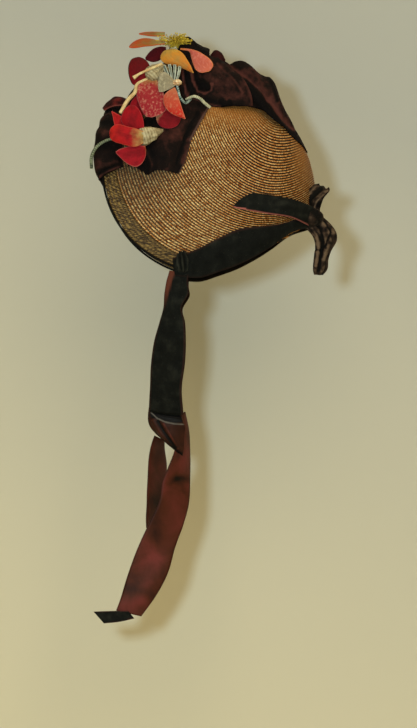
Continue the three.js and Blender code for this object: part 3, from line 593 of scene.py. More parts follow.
@dataclass(frozen=True)
class PetalCloth(Finish):
    """Cotton sateen stiffened with size, dyed and painted by hand, then pressed with a hot iron.

    The dye pools down the middle and fades in specks, veins fan out from the heart and the cut rim is pale.
    """

    heart: str
    body: str
    tip: str
    rim: str
    speck: str
    heart_share: float
    speck_share: float
    pool: str = "#5c060c"
    pool_share: float = 0.75
    fade_mm: float = 5.0
    speck_mm: float = 2.2
    pool_mm: float = 7.0
    weave_mm: float = 0.8
    kind: ClassVar[str] = "sateen"

    def shade(self, tree: Tree, place: Socket) -> Socket:
        """Colours from the heart to the tip, with veins, specks and the rim."""
        uv = add(tree, "UVMap rows")
        side, along = (add(tree, "SeparateXYZ", uv, out=axis) for axis in "XY")
        soft = add(tree, "TexNoise", Vector=place, Scale=per_metre(self.fade_mm), Detail=4.0)
        pushed = add(tree, "Math MULTIPLY_ADD", soft, 0.3, along)
        start = self.heart_share
        stops = [(start, self.heart), (start + 0.22, self.body), (1.0, self.tip)]
        colour = add(tree, "ValToRGB", pushed, stops=stops)
        fine = add(tree, "TexNoise", Vector=place, Scale=per_metre(self.speck_mm), Detail=4.0)
        some = add(tree, "ValToRGB", fine, stops=[(0.5, BLACK), (0.66, grey(self.speck_share))])
        broad = add(tree, "TexNoise", Vector=place, Scale=per_metre(self.pool_mm), Detail=3.0)
        inner = add(tree, "Math MULTIPLY_ADD", add(tree, "Math MULTIPLY", side, side), -0.25, broad)
        deep = add(tree, "ValToRGB", inner, stops=[(0.34, BLACK), (0.56, grey(self.pool_share))])
        vein = add(tree, "Math SINE", add(tree, "Math MULTIPLY", side, 26.0))
        thin = add(tree, "ValToRGB", vein, stops=[(0.6, BLACK), (1.0, "#484848")])
        edge = add(tree, "Attribute edge")
        for share, over in ((some, self.speck), (deep, self.pool), (thin, self.pool), (edge, self.rim)):
            colour = add(tree, "Mix RGBA", share, colour, over)
        weave = add(tree, "TexNoise", Vector=place, Scale=per_metre(self.weave_mm), Detail=2.0)
        height = add(tree, "Math MULTIPLY_ADD", vein, 0.35, weave)
        bump = add(tree, "Bump", Height=height, Distance=0.25 * MM, Strength=0.5)
        return add(
            tree, "BsdfPrincipled", Base_Color=colour, Roughness=0.7, Specular_IOR_Level=0.1,
            Sheen_Weight=0.05, Normal=bump,
        )


@dataclass(frozen=True)
class WrappedWire(Finish):
    """Wire wound with silk floss and dipped in wax: fine turns across it, uneven dye along it."""

    low: str
    high: str
    turn_mm: float
    dye_mm: float = 4.0
    kind: ClassVar[str] = "wire"

    def shade(self, tree: Tree, place: Socket) -> Socket:
        """Colours by dye and by the turns of floss."""
        along = add(tree, "SeparateXYZ", add(tree, "UVMap rows"), out="Y")
        floss = add(tree, "Math SINE", add(tree, "Math MULTIPLY", along, 2 * math.pi / self.turn_mm))
        dye = add(tree, "TexNoise", Vector=place, Scale=per_metre(self.dye_mm), Detail=4.0)
        level = add(tree, "Math MULTIPLY_ADD", floss, 0.1, dye)
        colour = add(tree, "ValToRGB", level, stops=[(0.3, self.low), (0.68, self.high)])
        bump = add(tree, "Bump", Height=level, Distance=0.25 * MM, Strength=0.6)
        return add(
            tree, "BsdfPrincipled", Base_Color=colour, Roughness=0.6, Specular_IOR_Level=0.3, Normal=bump
        )


@dataclass(frozen=True)
class PaperWall(Finish):
    """Matt background paper or a painted floor that vanishes from behind; the paper can carry painted light,
    lighter towards one corner.
    """

    low: str
    high: str
    from_place: Place = (0.0, 0.0, 0.0)
    way: Place = (0.0, 0.0, 1.0)

    def shade(self, tree: Tree, place: Socket) -> Socket:
        """A painted run of light along a line, and nothing on the back."""
        moved = add(tree, "VectorMath SUBTRACT", place, self.from_place)
        share = add(tree, "VectorMath DOT_PRODUCT", moved, self.way)
        colour = add(tree, "ValToRGB", share, stops=[(0.0, self.low), (1.0, self.high)])
        matt = add(tree, "BsdfPrincipled", Base_Color=colour, Roughness=0.95, Specular_IOR_Level=0.1)
        return add(tree, "MixShader", add(tree, "NewGeometry"), matt, add(tree, "BsdfTransparent"))


# Straw: the painted shade between rows, three strand colours from shade to light, and where the rows look
# smooth.
FINE_STRAW = SewnPlait("sewn wheat plait", "straw", "#060200", "#7a3e10", "#cf8030", "#ffdc9a", "#aa6e30")
OLIVE_BRAID = SewnPlait(
    "coarse olive braid", "olive_braid", "#1a1208", "#352612", "#5c4322", "#8e723e", "#504022", 2.6, 1.5, 0.5
)
# Velvet: deep pile, which also takes painted shade, pile, rubbed pile, which also takes painted light,
# selvedge, sheen and its share.
BAND_VELVET = Velvet(
    "black silk velvet", "black_velvet", "#070806", "#11120f", "#2a2a23", "#5a302a", "#3c3c34", 0.14
)
DRAPE_VELVET = Velvet(
    "brown silk velvet", "brown_velvet", "#060303", "#150b08", "#4c2822", "#5a4038", "#582a20", 0.09
)
WINE_VELVET = Velvet(
    "wine silk velvet", "brown_velvet", "#0e0304", "#2c0b0b", "#6a201c", "#84463c", "#6a2a26", 0.16
)
BOW_VELVET = Velvet(
    "dusty silk velvet", "bow_velvet", "#0a0806", "#2c2019", "#64503e", "#2a1e16", "#7e6a56", 0.26, 4.0
)
TAIL_VELVET = Velvet(
    "pink-edged silk velvet", "black_velvet", "#070806", "#11120f", "#2a2a23", "#a05a50", "#3c3c34", 0.14
)
PIPING_SILK = Velvet(
    "black silk piping", "black_velvet", "#070606", "#0f0d0b", "#231d19", "#231d19", "#3a342c", 0.12
)
# Satin: ground, worn colour that also takes painted light, stain colour that also takes painted shade, and
# selvedge.
TIE_SATIN = RibbedSatin("ribbed silk satin", "satin", "#4c2213", "#74302a", "#120a05", "#190b07")
KNOT_SATIN = RibbedSatin("creased silk satin", "satin", "#3c1c10", "#62281f", "#080504", "#6c655c")


@dataclass(frozen=True)
class StrawForm:
    """The straw's inner face as rings of plait, from the spiral's start (t 0) to the front rim (t 1).

    Each ring passes the front F, the widest side point S, where it runs down at "slope" degrees, and the
    back B; "fore" and "aft" are its handles at S, and "kf" and "kb" say how square it is at F and B.
    """

    # Columns: t, fy, fz, sx, sy, sz, slope, fore, aft, by, bz, kf, kb.
    rows: Rows = (
        (0.00, 50, -12.5, 1, 53, -14.6, 30, 1, 1, 56, -16, 0.56, 0.56),
        (0.10, 36, -4.5, 19, 52, -23, 36, 10, 9, 69, -26, 0.60, 0.60),
        (0.25, 20, -0.5, 39, 46, -40, 33, 22, 21, 79, -41, 0.64, 0.62),
        (0.45, 0, 2.0, 58, 37, -66, 28, 37, 35, 87, -60, 0.70, 0.62),
        (0.62, -24, 2.5, 68, 27, -90, 26, 54, 44, 90.5, -81, 0.76, 0.62),
        (0.80, -52, -2.5, 72, 6, -117, 24, 76, 48, 88.5, -107, 0.84, 0.62),
        (1.00, -82, -15.0, 69, -25, -147, 19, 98, 60, 74, -134, 0.90, 0.62),
    )
    # Columns: y, z of the lower edge.
    cut: Rows = (
        (-60, -160), (-26, -147), (10, -143), (43, -132), (66, -121), (84, -110), (120, -100),
    )
    axis_y: float = 15.0

    def points(self, t: Paint, v: Paint) -> Array:
        """Two cubic Bezier curves a ring, from the front to the side and from the side to the back.

        Args:
            t: which ring.
            v: how far round: 0 is the front, 0.5 the left side, 1 or -1 the back.

        Returns:
            Points of the straw's inner face.
        """
        t, v = np.broadcast_arrays(np.asarray(t, float), np.asarray(v, float))
        turn = np.where(np.abs(v) > 1, v - 2 * np.sign(v), v)
        share = np.abs(turn)
        table = np.array(self.rows, float)
        columns = np.moveaxis(monotone(table[:, 0], table[:, 1:], t), -1, 0)
        fy, fz, sx, sy, sz, slope, fore, aft, by, bz, kf, kb = columns
        nil, angle = np.zeros_like(sx), np.radians(slope)
        side = seen(np.stack([sx, sy, sz], -1))
        down = np.stack([nil, np.cos(angle), -np.sin(angle)], -1)
        front_top, back_top = np.stack([nil, fy, fz], -1), np.stack([nil, by, bz], -1)
        front_handle, back_handle = np.stack([sx * kf, fy, fz], -1), np.stack([sx * kb, by, bz], -1)
        front = [front_top, front_handle, side - down * fore[..., None], side]
        back = [side, side + down * aft[..., None], back_handle, back_top]
        ahead = (share <= 0.5)[..., None]
        s = np.where(share <= 0.5, 2 * share, 2 * share - 1)[..., None]
        p0, p1, p2, p3 = (np.where(ahead, a, b) for a, b in zip(front, back))
        curve = p0 * (1 - s) ** 3 + 3 * p1 * s * (1 - s) ** 2 + 3 * p2 * s * s * (1 - s) + p3 * s**3
        curve[..., 0] *= np.where(turn < 0, -1, 1)
        return curve

    def normals(self, t: Paint, v: Paint) -> Array:
        """Outward directions, from the points on either side."""
        step = 0.01
        t, v = np.broadcast_arrays(np.asarray(t, float), np.asarray(v, float))
        outwards = self.points(np.minimum(t + step, 1), v) - self.points(np.maximum(t - step, 0), v)
        return unit(np.cross(outwards, self.points(t, v + step) - self.points(t, v - step)))

    def rim(self, v: Array, reach: Paint, off: Paint) -> Array:
        """Points "reach" past the rim and "off" outside the rings."""
        edge = self.points(1.0, v)
        outwards = unit(edge - self.points(0.96, v))
        reach, off = np.asarray(reach)[..., None], np.asarray(off)[..., None]
        return edge + outwards * reach + self.normals(1.0, v) * off

    def ends(self, v: Array) -> Array:
        """The last ring of each column: the front rim, or where the column meets the lower edge."""
        t = np.linspace(0.2, 1.0, 321)[:, None]
        grid, edge = self.points(t, v[None]), np.array(self.cut)
        above = grid[..., 2] - np.interp(grid[..., 1], edge[:, 0], edge[:, 1])
        first, column = np.argmax(above < 0, axis=0), np.arange(len(v))
        high, low = above[first - 1, column], above[first, column]
        crossing = t[first - 1, 0] + (t[1, 0] - t[0, 0]) * high / (high - low)
        return np.where(np.any(above < 0, axis=0), crossing, 1.0)


STRAW = StrawForm()
# A dense set of the inner face's points, and their outward normals.
SAMPLED = np.linspace(0.01, 1, 110)[:, None], np.linspace(-1, 1, 260)[None]
STRAW_POINTS, STRAW_NORMALS = STRAW.points(*SAMPLED).reshape(-1, 3), STRAW.normals(*SAMPLED).reshape(-1, 3)


def resting(grid: Array, clearance: Paint) -> Array:
    """Lifts the points of a grid that are nearer to the straw than a clearance.

    The height of a point is its distance from the nearest sample along that sample's normal.

    Args:
        grid: the cloth's middle.
        clearance: the least height, one number or one for each point.

    Returns:
        The new grid.
    """
    batch = 400
    flat = grid.reshape(-1, 3)
    square = (STRAW_POINTS**2).sum(1)
    parts = [flat[start : start + batch] for start in range(0, len(flat), batch)]
    nearest = np.concatenate([np.argmin(square[None] - 2 * part @ STRAW_POINTS.T, axis=1) for part in parts])
    height = ((flat - STRAW_POINTS[nearest]) * STRAW_NORMALS[nearest]).sum(1)
    lift = np.maximum(np.broadcast_to(clearance, grid.shape[:-1]).ravel() - height, 0)
    return (flat + STRAW_NORMALS[nearest] * lift[:, None]).reshape(grid.shape)


def around(table: Array, off: Paint) -> Array:
    """Points off the straw at turns round its upright axis: 0 degrees is the back, 90 the left.

    Args:
        table: rows of degrees and height.
        off: how far proud of the straw each is.

    Returns:
        The points.
    """
    from_axis = STRAW_POINTS[:, 1] - STRAW.axis_y
    turn = np.degrees(np.arctan2(STRAW_POINTS[:, 0], from_axis))
    miss = (turn[None] - table[:, :1]) ** 2 + (STRAW_POINTS[None, :, 2] - table[:, 1:]) ** 2
    radius = np.hypot(STRAW_POINTS[:, 0], from_axis)[np.argmin(miss, axis=1)] + off
    angle = np.radians(table[:, 0])
    return np.stack([np.sin(angle) * radius, STRAW.axis_y + np.cos(angle) * radius, table[:, 1]], -1)


def on_side(table: Array, off: Array) -> Array:
    """Points off the straw's left side that are seen at y, z, and stand proud of it by "off"."""
    left = STRAW_POINTS[STRAW_POINTS[:, 0] > 5]
    miss = ((looks(left)[None] - table[:, None]) ** 2).sum(-1)
    return seen(np.column_stack([left[np.argmin(miss, axis=1), 0] + off, table]))


def strip(edge_a: Array, edge_b: Array, puff: Paint, along: int, across: int) -> Array:
    """A ribbon between two smooth edges, bulged between them as one less the square of the share across.

    Args:
        edge_a: points of one edge.
        edge_b: points of the other.
        puff: how far it bulges at each row.
        along: steps along it.
        across: steps across it.

    Returns:
        The grid of its middle.
    """
    u, v = np.linspace(0, 1, along + 1), np.linspace(0, 1, across + 1)[None, :, None]
    a, b = centripetal(edge_a, u), centripetal(edge_b, u)
    way = np.gradient(a, axis=0) + np.gradient(b, axis=0)
    normal = unit(np.cross(unit(way), b - a))[:, None]
    puffs = np.broadcast_to(puff, len(edge_a))[:, None]
    bulge = even(puffs, u)[:, None] * (1 - (2 * v - 1) ** 2)
    return a[:, None] * (1 - v) + b[:, None] * v + normal * bulge


def free_strip(table: Rows, along: int, across: int) -> Array:
    """A ribbon of rows with ay, az, ax, by, bz, bx and puff, its edges as they look from the side."""
    rows = np.array(table, float)
    return strip(seen(rows[:, [2, 0, 1]]), seen(rows[:, [5, 3, 4]]), rows[:, 6], along, across)


@dataclass
class Assembly:
    """A group of finished pieces."""

    pieces: list[bpy.types.Object] = field(default_factory=list)

    def add_piece(self, node: str, surface: Surface, finish: Finish, name: str = "") -> bpy.types.Object:
        """Turns a surface into a piece that rides on the part.

        Args:
            node: the CAD node that it stands for.
            surface: its closed mesh, in millimetres.
            finish: its material.
            name: the piece's name, where it isn't the node's with the kind of cloth.

        Returns:
            The piece.
        """
        name = name or f"{node}_{finish.kind}"
        mesh = bpy.data.meshes.new(name)
        mesh.from_pydata((surface.points * MM).tolist(), [], surface.faces)
        uv = mesh.uv_layers.new(name="rows")
        corners = np.zeros(len(mesh.loops), int)
        mesh.loops.foreach_get("vertex_index", corners)
        uv.data.foreach_set("uv", surface.uv[corners].astype(np.float32).ravel())
        for key, value in surface.paint.items():
            layer = mesh.attributes.new(key, "FLOAT", "POINT")
            layer.data.foreach_set("value", np.asarray(value, np.float32))
        mesh.polygons.foreach_set("use_smooth", np.ones(len(mesh.polygons), bool))
        mesh.materials.append(finish.make())
        mesh.update()
        piece = bpy.data.objects.new(name, mesh)
        bpy.context.scene.collection.objects.link(piece)
        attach(piece, "root")
        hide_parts(node)
        self.pieces.append(piece)
        log.info("%s: %d faces", name, len(mesh.polygons))
        return piece

    def add_cloth(
        self, node: str, grid: Array, finish: Finish, held: Held, on: tuple[str, ...],
        thickness: Paint = CLOTH_MM, tone: Paint = 0.0, **paint: Paint,
    ) -> None:
        """Adds a sheet of cloth.

        Args:
            node: the CAD node that it stands for.
            grid: the cloth's middle.
            finish: its material.
            held: how it is held; not used.
            on: what it lies on or hangs from; not used.
            thickness: the cloth's thickness.
            tone: painted light and dark.
            paint: how much of the selvedge ("edge") and of the satin back ("turned") shows.
        """
        # Each sheet's bends add painted light where it bulges and painted shade where it turns in.
        paint["tone"] = tone + bend_light_and_shade(grid)
        piece = self.add_piece(node, wall(grid, thickness, paint), finish)

    def add_pair(
        self, node: str, grid: Array, finish: Finish, held: Held, on: str, alike: Paint = 0.0, **paint: Array
    ) -> None:
        """Adds a left sheet and its mirror image on the right.

        Args:
            node: the CAD nodes, with {} for the side.
            grid: the left cloth's middle.
            finish: its material.
            held: how it is held.
            on: what it lies on or hangs from, with {} for the side.
            alike: a tone that is added to both as it is.
            paint: painted values that are mirrored with the cloth.
        """
        for side, made, step in (("left", grid, 1), ("right", mirrored(grid), -1)):
            values = {key: value[:, ::step] for key, value in paint.items()}
            values["tone"] = values.get("tone", 0.0) + alike
            self.add_cloth(node.format(side), made, finish, held, (on.format(side),), **values)


@dataclass
class StrawBody(Assembly):
    """The crown and brim of fine plait, the coarser braid on the front rim and its piping."""

    columns: int = 220
    braid_columns: int = 360
    wall_mm: float = 1.3
    # Columns: t, rows of plait from the start to there.
    span: Rows = (
        (0.005, 0), (0.12, 7), (0.45, 26), (0.62, 38), (0.8, 54), (0.948, 68),
    )
    braid_span: Rows = ((0.9492, 0), (1.0, 4))
    # Heights at even steps through one row.
    ridge: tuple[float, ...] = (-0.42, 0.05, 0.42, 0.36)
    braid_ridge: tuple[float, ...] = (0.0, 0.3, 0.42, 0.22)
    piping_mm: float = 0.95
    piping_reach_mm: float = 1.2
    ear: float = 0.5

    def build(self) -> None:
        """Makes the three straw pieces."""
        self.add_piece("straw_shell", self.plait(self.span, self.columns, self.ridge), FINE_STRAW)
        braid = self.plait(self.braid_span, self.braid_columns, self.braid_ridge, band=True)
        self.add_piece("front_braid", braid, OLIVE_BRAID)
        v = np.linspace(-self.ear, self.ear, 161)
        path = STRAW.rim(v, self.piping_reach_mm, self.wall_mm / 2)
        piping = tube(path, np.full(len(v), self.piping_mm), sides=8)
        self.add_piece("edge_binding", piping, PIPING_SILK, "rim_piping")

    def plait(self, rows_at: Rows, columns: int, profile: tuple[float, ...], band: bool = False) -> Surface:
        """Rows of plait as ridges on the straw's face, over a plain inner face, closed at every edge.

        Columns that meet the lower edge stop there: their further points are one point.

        Args:
            rows_at: rings, and how many rows of plait there are up to each.
            columns: steps round.
            profile: heights of the ridge at even steps through one row.
            band: whether it is open at its start and sides, where a crown goes round and closes at its start.

        Returns:
            The wall, with the pattern coordinate in millimetres along a row and in rows.
        """
        span, v = np.array(rows_at, float), -1 + 2 * np.arange(columns) / columns
        last = np.minimum(STRAW.ends(v), span[-1, 0])
        reached = last > span[0, 0] + 1e-4
        v, last = v[reached], last[reached]
        steps = len(profile)
        count = int(span[-1, 1]) * steps + 1
        fine = monotone(span[:, 1], span[:, :1], np.linspace(0, span[-1, 1], count))[:, 0]
        ridge = np.resize(profile, count) * np.minimum(1, fine / 0.04)
        ridge[-1] = 0.0
        points, uv, layers = [], [], []
        for levels, height in ((fine, self.wall_mm + ridge), (fine[::steps], np.zeros(count)[::steps])):
            t, past = np.minimum(levels[:, None], last), levels[:, None] >= last - 1e-9
            off = np.where(past, height[-1], height[:, None])
            grid = STRAW.points(t, v[None]) + STRAW.normals(t, v[None]) * off[..., None]
            end = np.where(past.any(0), past.argmax(0), len(levels) - 1)
            row = np.minimum(np.arange(len(levels))[:, None], end)
            layers.append(row * len(v) + np.arange(len(v)) + sum(len(part) for part in points))
            points.append(grid.reshape(-1, 3))
            place = np.interp(t, fine, np.arange(count) / steps)
            uv.append(np.stack([lengths(around_once(grid), 1)[:, :-1], place], -1).reshape(-1, 2))
        outer, inner = layers if band else (around_once(index) for index in layers)
        pairs = [(outer[-1], inner[-1])]
        if band:
            pick = np.round(np.linspace(0, len(inner) - 1, len(outer))).astype(int)
            pairs += [(inner[0], outer[0]), (outer[:, 0], inner[pick, 0]), (inner[pick, -1], outer[:, -1])]
        joins = [quads(np.stack(pair)) for pair in pairs]
        faces = np.concatenate([quads(outer), quads(inner)[:, ::-1], *joins])
        cells = [cell for cell in (list(dict.fromkeys(face)) for face in faces.tolist()) if len(cell) > 2]
        places = np.concatenate(points)
        paint = {"fleck": self.fleck_of(places)}
        if not band:
            paint |= {"calm": self.calm_of(places), "soil": self.soil_of(places)}
            for first in (outer[0], inner[0][::-1]):
                cells += [[a, b, len(places)] for a, b in zip(first[:-1].tolist(), first[1:].tolist())]
                places = np.vstack([places, places[first[:-1]].mean(0)])
                uv.append(np.zeros((1, 2)))
            paint = {key: np.pad(value, (0, 2)) for key, value in paint.items()}
        return Surface(places, cells, np.concatenate(uv), paint).outward()

    @staticmethod
    def calm_of(points: Array) -> Array:
        """Where the rows look smooth and glossy: over the top of the crown and down its back."""
        top = np.clip((points[..., 2] + 36) / 24, 0, 1)
        back = np.clip((points[..., 1] - 70) / 12, 0, 1) * np.clip((points[..., 2] + 92) / 40, 0, 1)
        return 0.85 * np.maximum(top, back)

    @staticmethod
    def soil_of(points: Array) -> Array:
        """Painted shade: on the front third, most of it near the drapery."""
        front = np.exp(-(np.maximum(points[..., 1] + 58, 0) / 26) ** 2)
        near = np.exp(-((points[..., 1] + 50) ** 2 + (points[..., 2] + 66) ** 2) / 500)
        return np.maximum(0.66 * front * np.clip((points[..., 2] + 125) / 60, 0.1, 1), 0.75 * near)

    @staticmethod
    def fleck_of(points: Array) -> Array:
        """Where the strands glitter singly: over the middle and the front, where the plait lies flatter."""
        return np.clip((34 - points[..., 1]) / 34, 0.05, 1)


@dataclass
class NapeTrim(Assembly):
    """The velvet band round the nape, and the bow with its two tails that lie forward over the band."""

    # Columns: degrees, top, bottom.
    band: Rows = (
        (122, -142, -156), (108, -134, -158), (95, -125, -153), (82, -117.5, -147.5), (70, -115, -140.5),
        (56, -113, -130), (42, -109, -119), (25, -106, -115), (0, -106, -114),
    )
    # Columns: degrees, top, bottom, off.
    bow_tail: Rows = (
        (18, -98, -114, 5), (33, -95, -111, 5), (48, -91, -106.5, 4.4), (63, -88.3, -104.3, 3.2),
        (72, -87.6, -102.5, 2.6), (79.6, -92, -100.6, 2.4), (85.2, -98, -99.4, 2.0),
    )
    # Columns: ay, az, ax, by, bz, bx, puff.
    upper_loop: Rows = (
        (83, -98, 30, 96, -100, 21, 0), (83, -89, 35, 97, -91.5, 28, 2),
        (86.5, -82, 34, 100, -87, 29, 2.5), (90, -77, 29, 104, -82, 25, 2),
        (95, -75.6, 20, 104.2, -79.5, 18, 1), (91, -78, 11, 103, -82.5, 10, 1),
        (86, -85, 6, 99, -89, 5, 1), (84, -95, 8, 96, -98, 7, 0),
    )
    lower_loop: Rows = (
        (82, -110.5, 29, 95.5, -101.5, 22, 0), (86, -115.5, 30, 104, -109.5, 22, 2),
        (90.5, -121.5, 30, 109.5, -117.5, 22, 3), (92.3, -127, 30, 110, -124, 21, 3),
        (91.6, -135, 29, 105.3, -133, 20, 2.5), (90.8, -143, 28, 102.8, -141, 20, 2),
        (90.2, -149.5, 27, 102.2, -148.5, 20, 1.5), (91, -153.4, 25, 98.5, -153.8, 19, 0.5),
    )
    knot_place: Place = (29, 87, -104.5)
    knot_half: Place = (11, 11, 8.5)
    # Folds in painted light and hollows in painted shade.
    upper_creases: tuple[Crease, ...] = (
        Crease(((84, -95), (88, -88), (97, -80)), 1.5, -1.6, -1.2),
        Crease(((91, -97), (94, -90), (103, -81)), 1.2, 1.0, 0.6),
        Crease(((84, -90), (87, -84), (92, -78)), 1.2, 0.9, 0.5),
    )
    lower_creases: tuple[Crease, ...] = (
        Crease(((88, -106), (97, -114), (99, -126), (95, -150)), 1.5, -1.6, -1.2),
        Crease(((90, -104), (103, -113), (104.5, -124), (99, -140)), 1.4, 1.2, 0.35),
        Crease(((86, -110), (93, -119), (95, -130), (92.5, -146)), 1.1, 1.0, 0.3),
        Crease(((100, -108), (105, -117), (101, -130)), 1.0, -1.0, -0.8),
        Crease(((104, -126), (97, -133), (92, -132)), 1.2, -0.9, -0.6),
    )

    def build(self) -> None:
        """Makes the band, the tails, the loops and the knot."""
        rows = np.array(self.band, float)
        edges = (around(rows[:, [0, column]], CLEAR) for column in (1, 2))
        top, bottom = (np.vstack([edge, edge[-2::-1] * FLIP]) for edge in edges)
        band = strip(top, bottom, -2.0, along=150, across=12)
        u, v = shares(band)
        band = resting(band, CLEAR + 0.25 + 0.25 * ripple(u * 9, v * 1.2, seed=3))
        tone = 0.12 * ripple(u * 14, v * 2, seed=5) - 0.1
        self.add_cloth(
            "nape_band", band, BAND_VELVET, Held.STRETCHED, ("straw_shell_plait",), tone=tone,
            edge=hairline(band, 0.2, 0.1, 0.7),
        )
        rows = np.array(self.bow_tail, float)
        top, bottom = (around(rows[:, [0, column]], rows[:, 3]) for column in (1, 2))
        tail = strip(top, bottom, 1.4, along=50, across=12)
        u, v = shares(tail)
        tail = resting(raised(tail, 0.35 * ripple(u * 3, v * 1.4, seed=8)), CLEAR + 1.9)
        self.add_pair(
            "bow_tail_{}", tail, TAIL_VELVET, Held.DRAPED, "nape_band_velvet",
            alike=-0.05 + 0.1 * ripple(u * 5, v * 2, seed=9), edge=hairline(tail, 0.0, 1.0, 0.9),
        )
        for name, table, creases, seed, stretch in (
            ("upper", self.upper_loop, self.upper_creases, 21, 1.6),
            ("lower", self.lower_loop, self.lower_creases, 25, 2.2),
        ):
            loop = free_strip(table, along=56, across=22)
            u, v = shares(loop)
            folds = np.sin(2 * np.pi * (stretch * v + 0.35 * ripple(u * 0.8, v * 0.5, seed)))
            loop, tone = creased(raised(loop, 0.7 * folds * np.sin(np.pi * u) ** 0.5), creases)
            # Painted light on the fold crests and creases, painted shade in the troughs and hollows.
            tone = tone - 0.1 + 0.15 * folds + 0.4 * ripple(u * 8, v * 2, seed + 1)
            self.add_cloth(f"bow_{name}_loop", loop, BOW_VELVET, Held.FOLDED, ("bow_knot_velvet",), tone=tone)
        knot = lump(seen(np.array(self.knot_place, float)), self.knot_half, seed=31, folds=4, depth=0.09)
        knot.paint["tone"] = knot.paint["tone"] * 0.6 - 0.45
        self.add_piece("bow_knot", knot, BOW_VELVET)


@dataclass
class Drapery(Assembly):
    """Velvet over the front rim, across the crown in soft folds, and down the back in a long puff."""

    # Columns: reach past the rim, height off the straw.
    rim_profile: Rows = (
        (-19, 3.0), (-14, 8.5), (-6, 12), (2, 11.5), (7, 6.5), (6.5, -1), (1.5, -4.2), (-5, -4.4),
    )
    # Columns: how far round, fullness.
    rim_drape: Rows = (
        (0.262, 0.55), (0.24, 0.85), (0.18, 1.0), (0.1, 0.7), (0, 0.35), (-0.1, 0.7), (-0.18, 1.0),
        (-0.24, 0.85), (-0.262, 0.55),
    )
    # Columns: ay, az, offA, by, bz, offB, puff.
    front_loop: Rows = (
        (-24, 0, 4, 3, -7, 3, 1), (-37, -7, 3.5, -2.6, -16.3, 2, 3), (-52, -17, 3, -13.9, -37.8, 1.6, 6),
        (-65, -34, 3, -17.8, -47.8, 1.6, 8), (-70.5, -48, 2.5, -20.1, -56.8, 1.6, 7),
        (-68.8, -60, 1.6, -24.9, -67.1, 1.6, 3),
    )
    # Columns of the arches: y, top, half, foot, lean, square.
    crown: Rows = (
        (-71, -6, 22, -18, -3, 2.0), (-62, 8, 28, -16, 0, 2.2), (-48, 20, 32, -16, 0, 2.4),
        (-28, 31, 33, -16, 0, 2.4), (-6, 34, 33, -14, 4, 2.3), (8, 32, 32, -11, 14, 2.2),
        (15, 27, 30, -11, 23, 2.1),
    )
    puff: Rows = (
        (11, 21, 24, -10, 20, 2.0), (19, 26.2, 25, -12, 20, 2.0), (29, 28.8, 25, -14, 17, 2.0),
        (37, 25, 25, -18, 14, 1.9), (46, 16.5, 24, -23, 10, 1.9), (56, 11, 21, -29, 8, 1.9),
        (61, -3, 17, -35, 6, 2.0), (69.5, -19, 13, -43, 4, 2.0), (76.5, -33, 9, -49, 3, 2.0),
        (80, -43, 5, -51, 1, 2.0),
    )
    ridge: Rows = (
        (-33, 41, 13, 24, 0, 2.0), (-25, 50, 15, 24, 0, 1.8), (-17, 50.5, 15, 26, 0, 1.7),
        (-8, 44.5, 14, 28, 0, 1.8), (1, 39, 12, 26, 0, 2.0),
    )
    small_puff: Rows = (
        (2.5, 36, 7, 25, 0, 2.0), (6, 39, 9, 25, 0, 2.2), (11, 36.5, 9, 22, 0, 2.2),
        (14.5, 31, 7, 20, 0, 2.0),
    )
    # Columns: ay, az, ax, by, bz, bx, puff.
    small_loop: Rows = (
        (-89.5, -12.5, 34, -90, -11, 22, 1), (-83, -9.5, 36, -84.5, -4.5, 20, 2),
        (-77, -8.5, 38, -78, -1, 20, 2), (-67, -8, 42, -68, -4, 22, 1),
    )
    # Folds in painted light and hollows in painted shade.
    loop_creases: tuple[Crease, ...] = (
        Crease(((-4, -17), (-16, -38), (-22, -58)), 2.4, 0.8, 0.55),
        Crease(((-9, -15), (-20, -36), (-27, -58)), 1.6, -1.2, -0.4),
        Crease(((-38, -42), (-33, -50), (-34, -62)), 3.5, 0.6, 0.3),
        Crease(((-52, -48), (-48, -58), (-52, -68)), 2.0, 0.8, 0.35),
        Crease(((-68, -48), (-60, -56)), 1.8, 0.7, 0.35),
    )
    # Folds in painted light and hollows in painted shade.
    crown_creases: tuple[Crease, ...] = (
        Crease(((8, 28), (18, 19), (24, 12), (30, 3)), 1.4, 0.6, 0.2),
        Crease(((12, -5), (15, -8), (18, -6)), 2.2, -2.4, -0.9),
        Crease(((-23, 26), (-21, 12), (-18, 0)), 1.6, 1.5, 0.15),
        Crease(((-19, 25), (-17, 13), (-13, 2)), 1.5, -1.4, -0.8),
        Crease(((-15, 25), (-13, 13), (-9, 4)), 1.5, 1.4, 0.15),
        Crease(((-11, 24), (-9, 14), (-5, 7)), 1.4, -1.0, -0.5),
        Crease(((-5, 11), (0, 7)), 3.0, -2.4, -0.9),
        Crease(((-8, 4), (-3, 2), (2, 5), (3, 10)), 1.6, 1.2, 0.3),
        Crease(((3, 22), (14, 16), (24, 3)), 9.0, 0.6, 0.2),
        Crease(((-2, -3), (12, -6), (24, -8)), 4.0, -0.8, -0.45),
    )
    # Folds in painted light and hollows in painted shade.
    puff_creases: tuple[Crease, ...] = (
        Crease(((21, 25), (33, 16), (43, 7), (52, -3)), 2.6, 2.2, 0.6),
        Crease(((52, -3), (60, -14), (72, -30)), 2.8, 1.8, 1.25),
        Crease(((33, 22), (45, 14), (53, 5), (62, -8)), 4.0, -0.4, 0.4),
        Crease(((30, 10), (39, 0), (47, -9), (60, -24), (74, -40)), 4.5, -3.2, -1.3),
        Crease(((52, 14), (56, 6), (59, -4)), 1.6, -1.0, -0.5),
    )
    lean_power: float = 2.2

    def build(self) -> None:
        """Makes the drapery from the rim to the back."""
        self.build_rim()
        self.build_front_loops()
        self.build_crown()
        self.build_back()

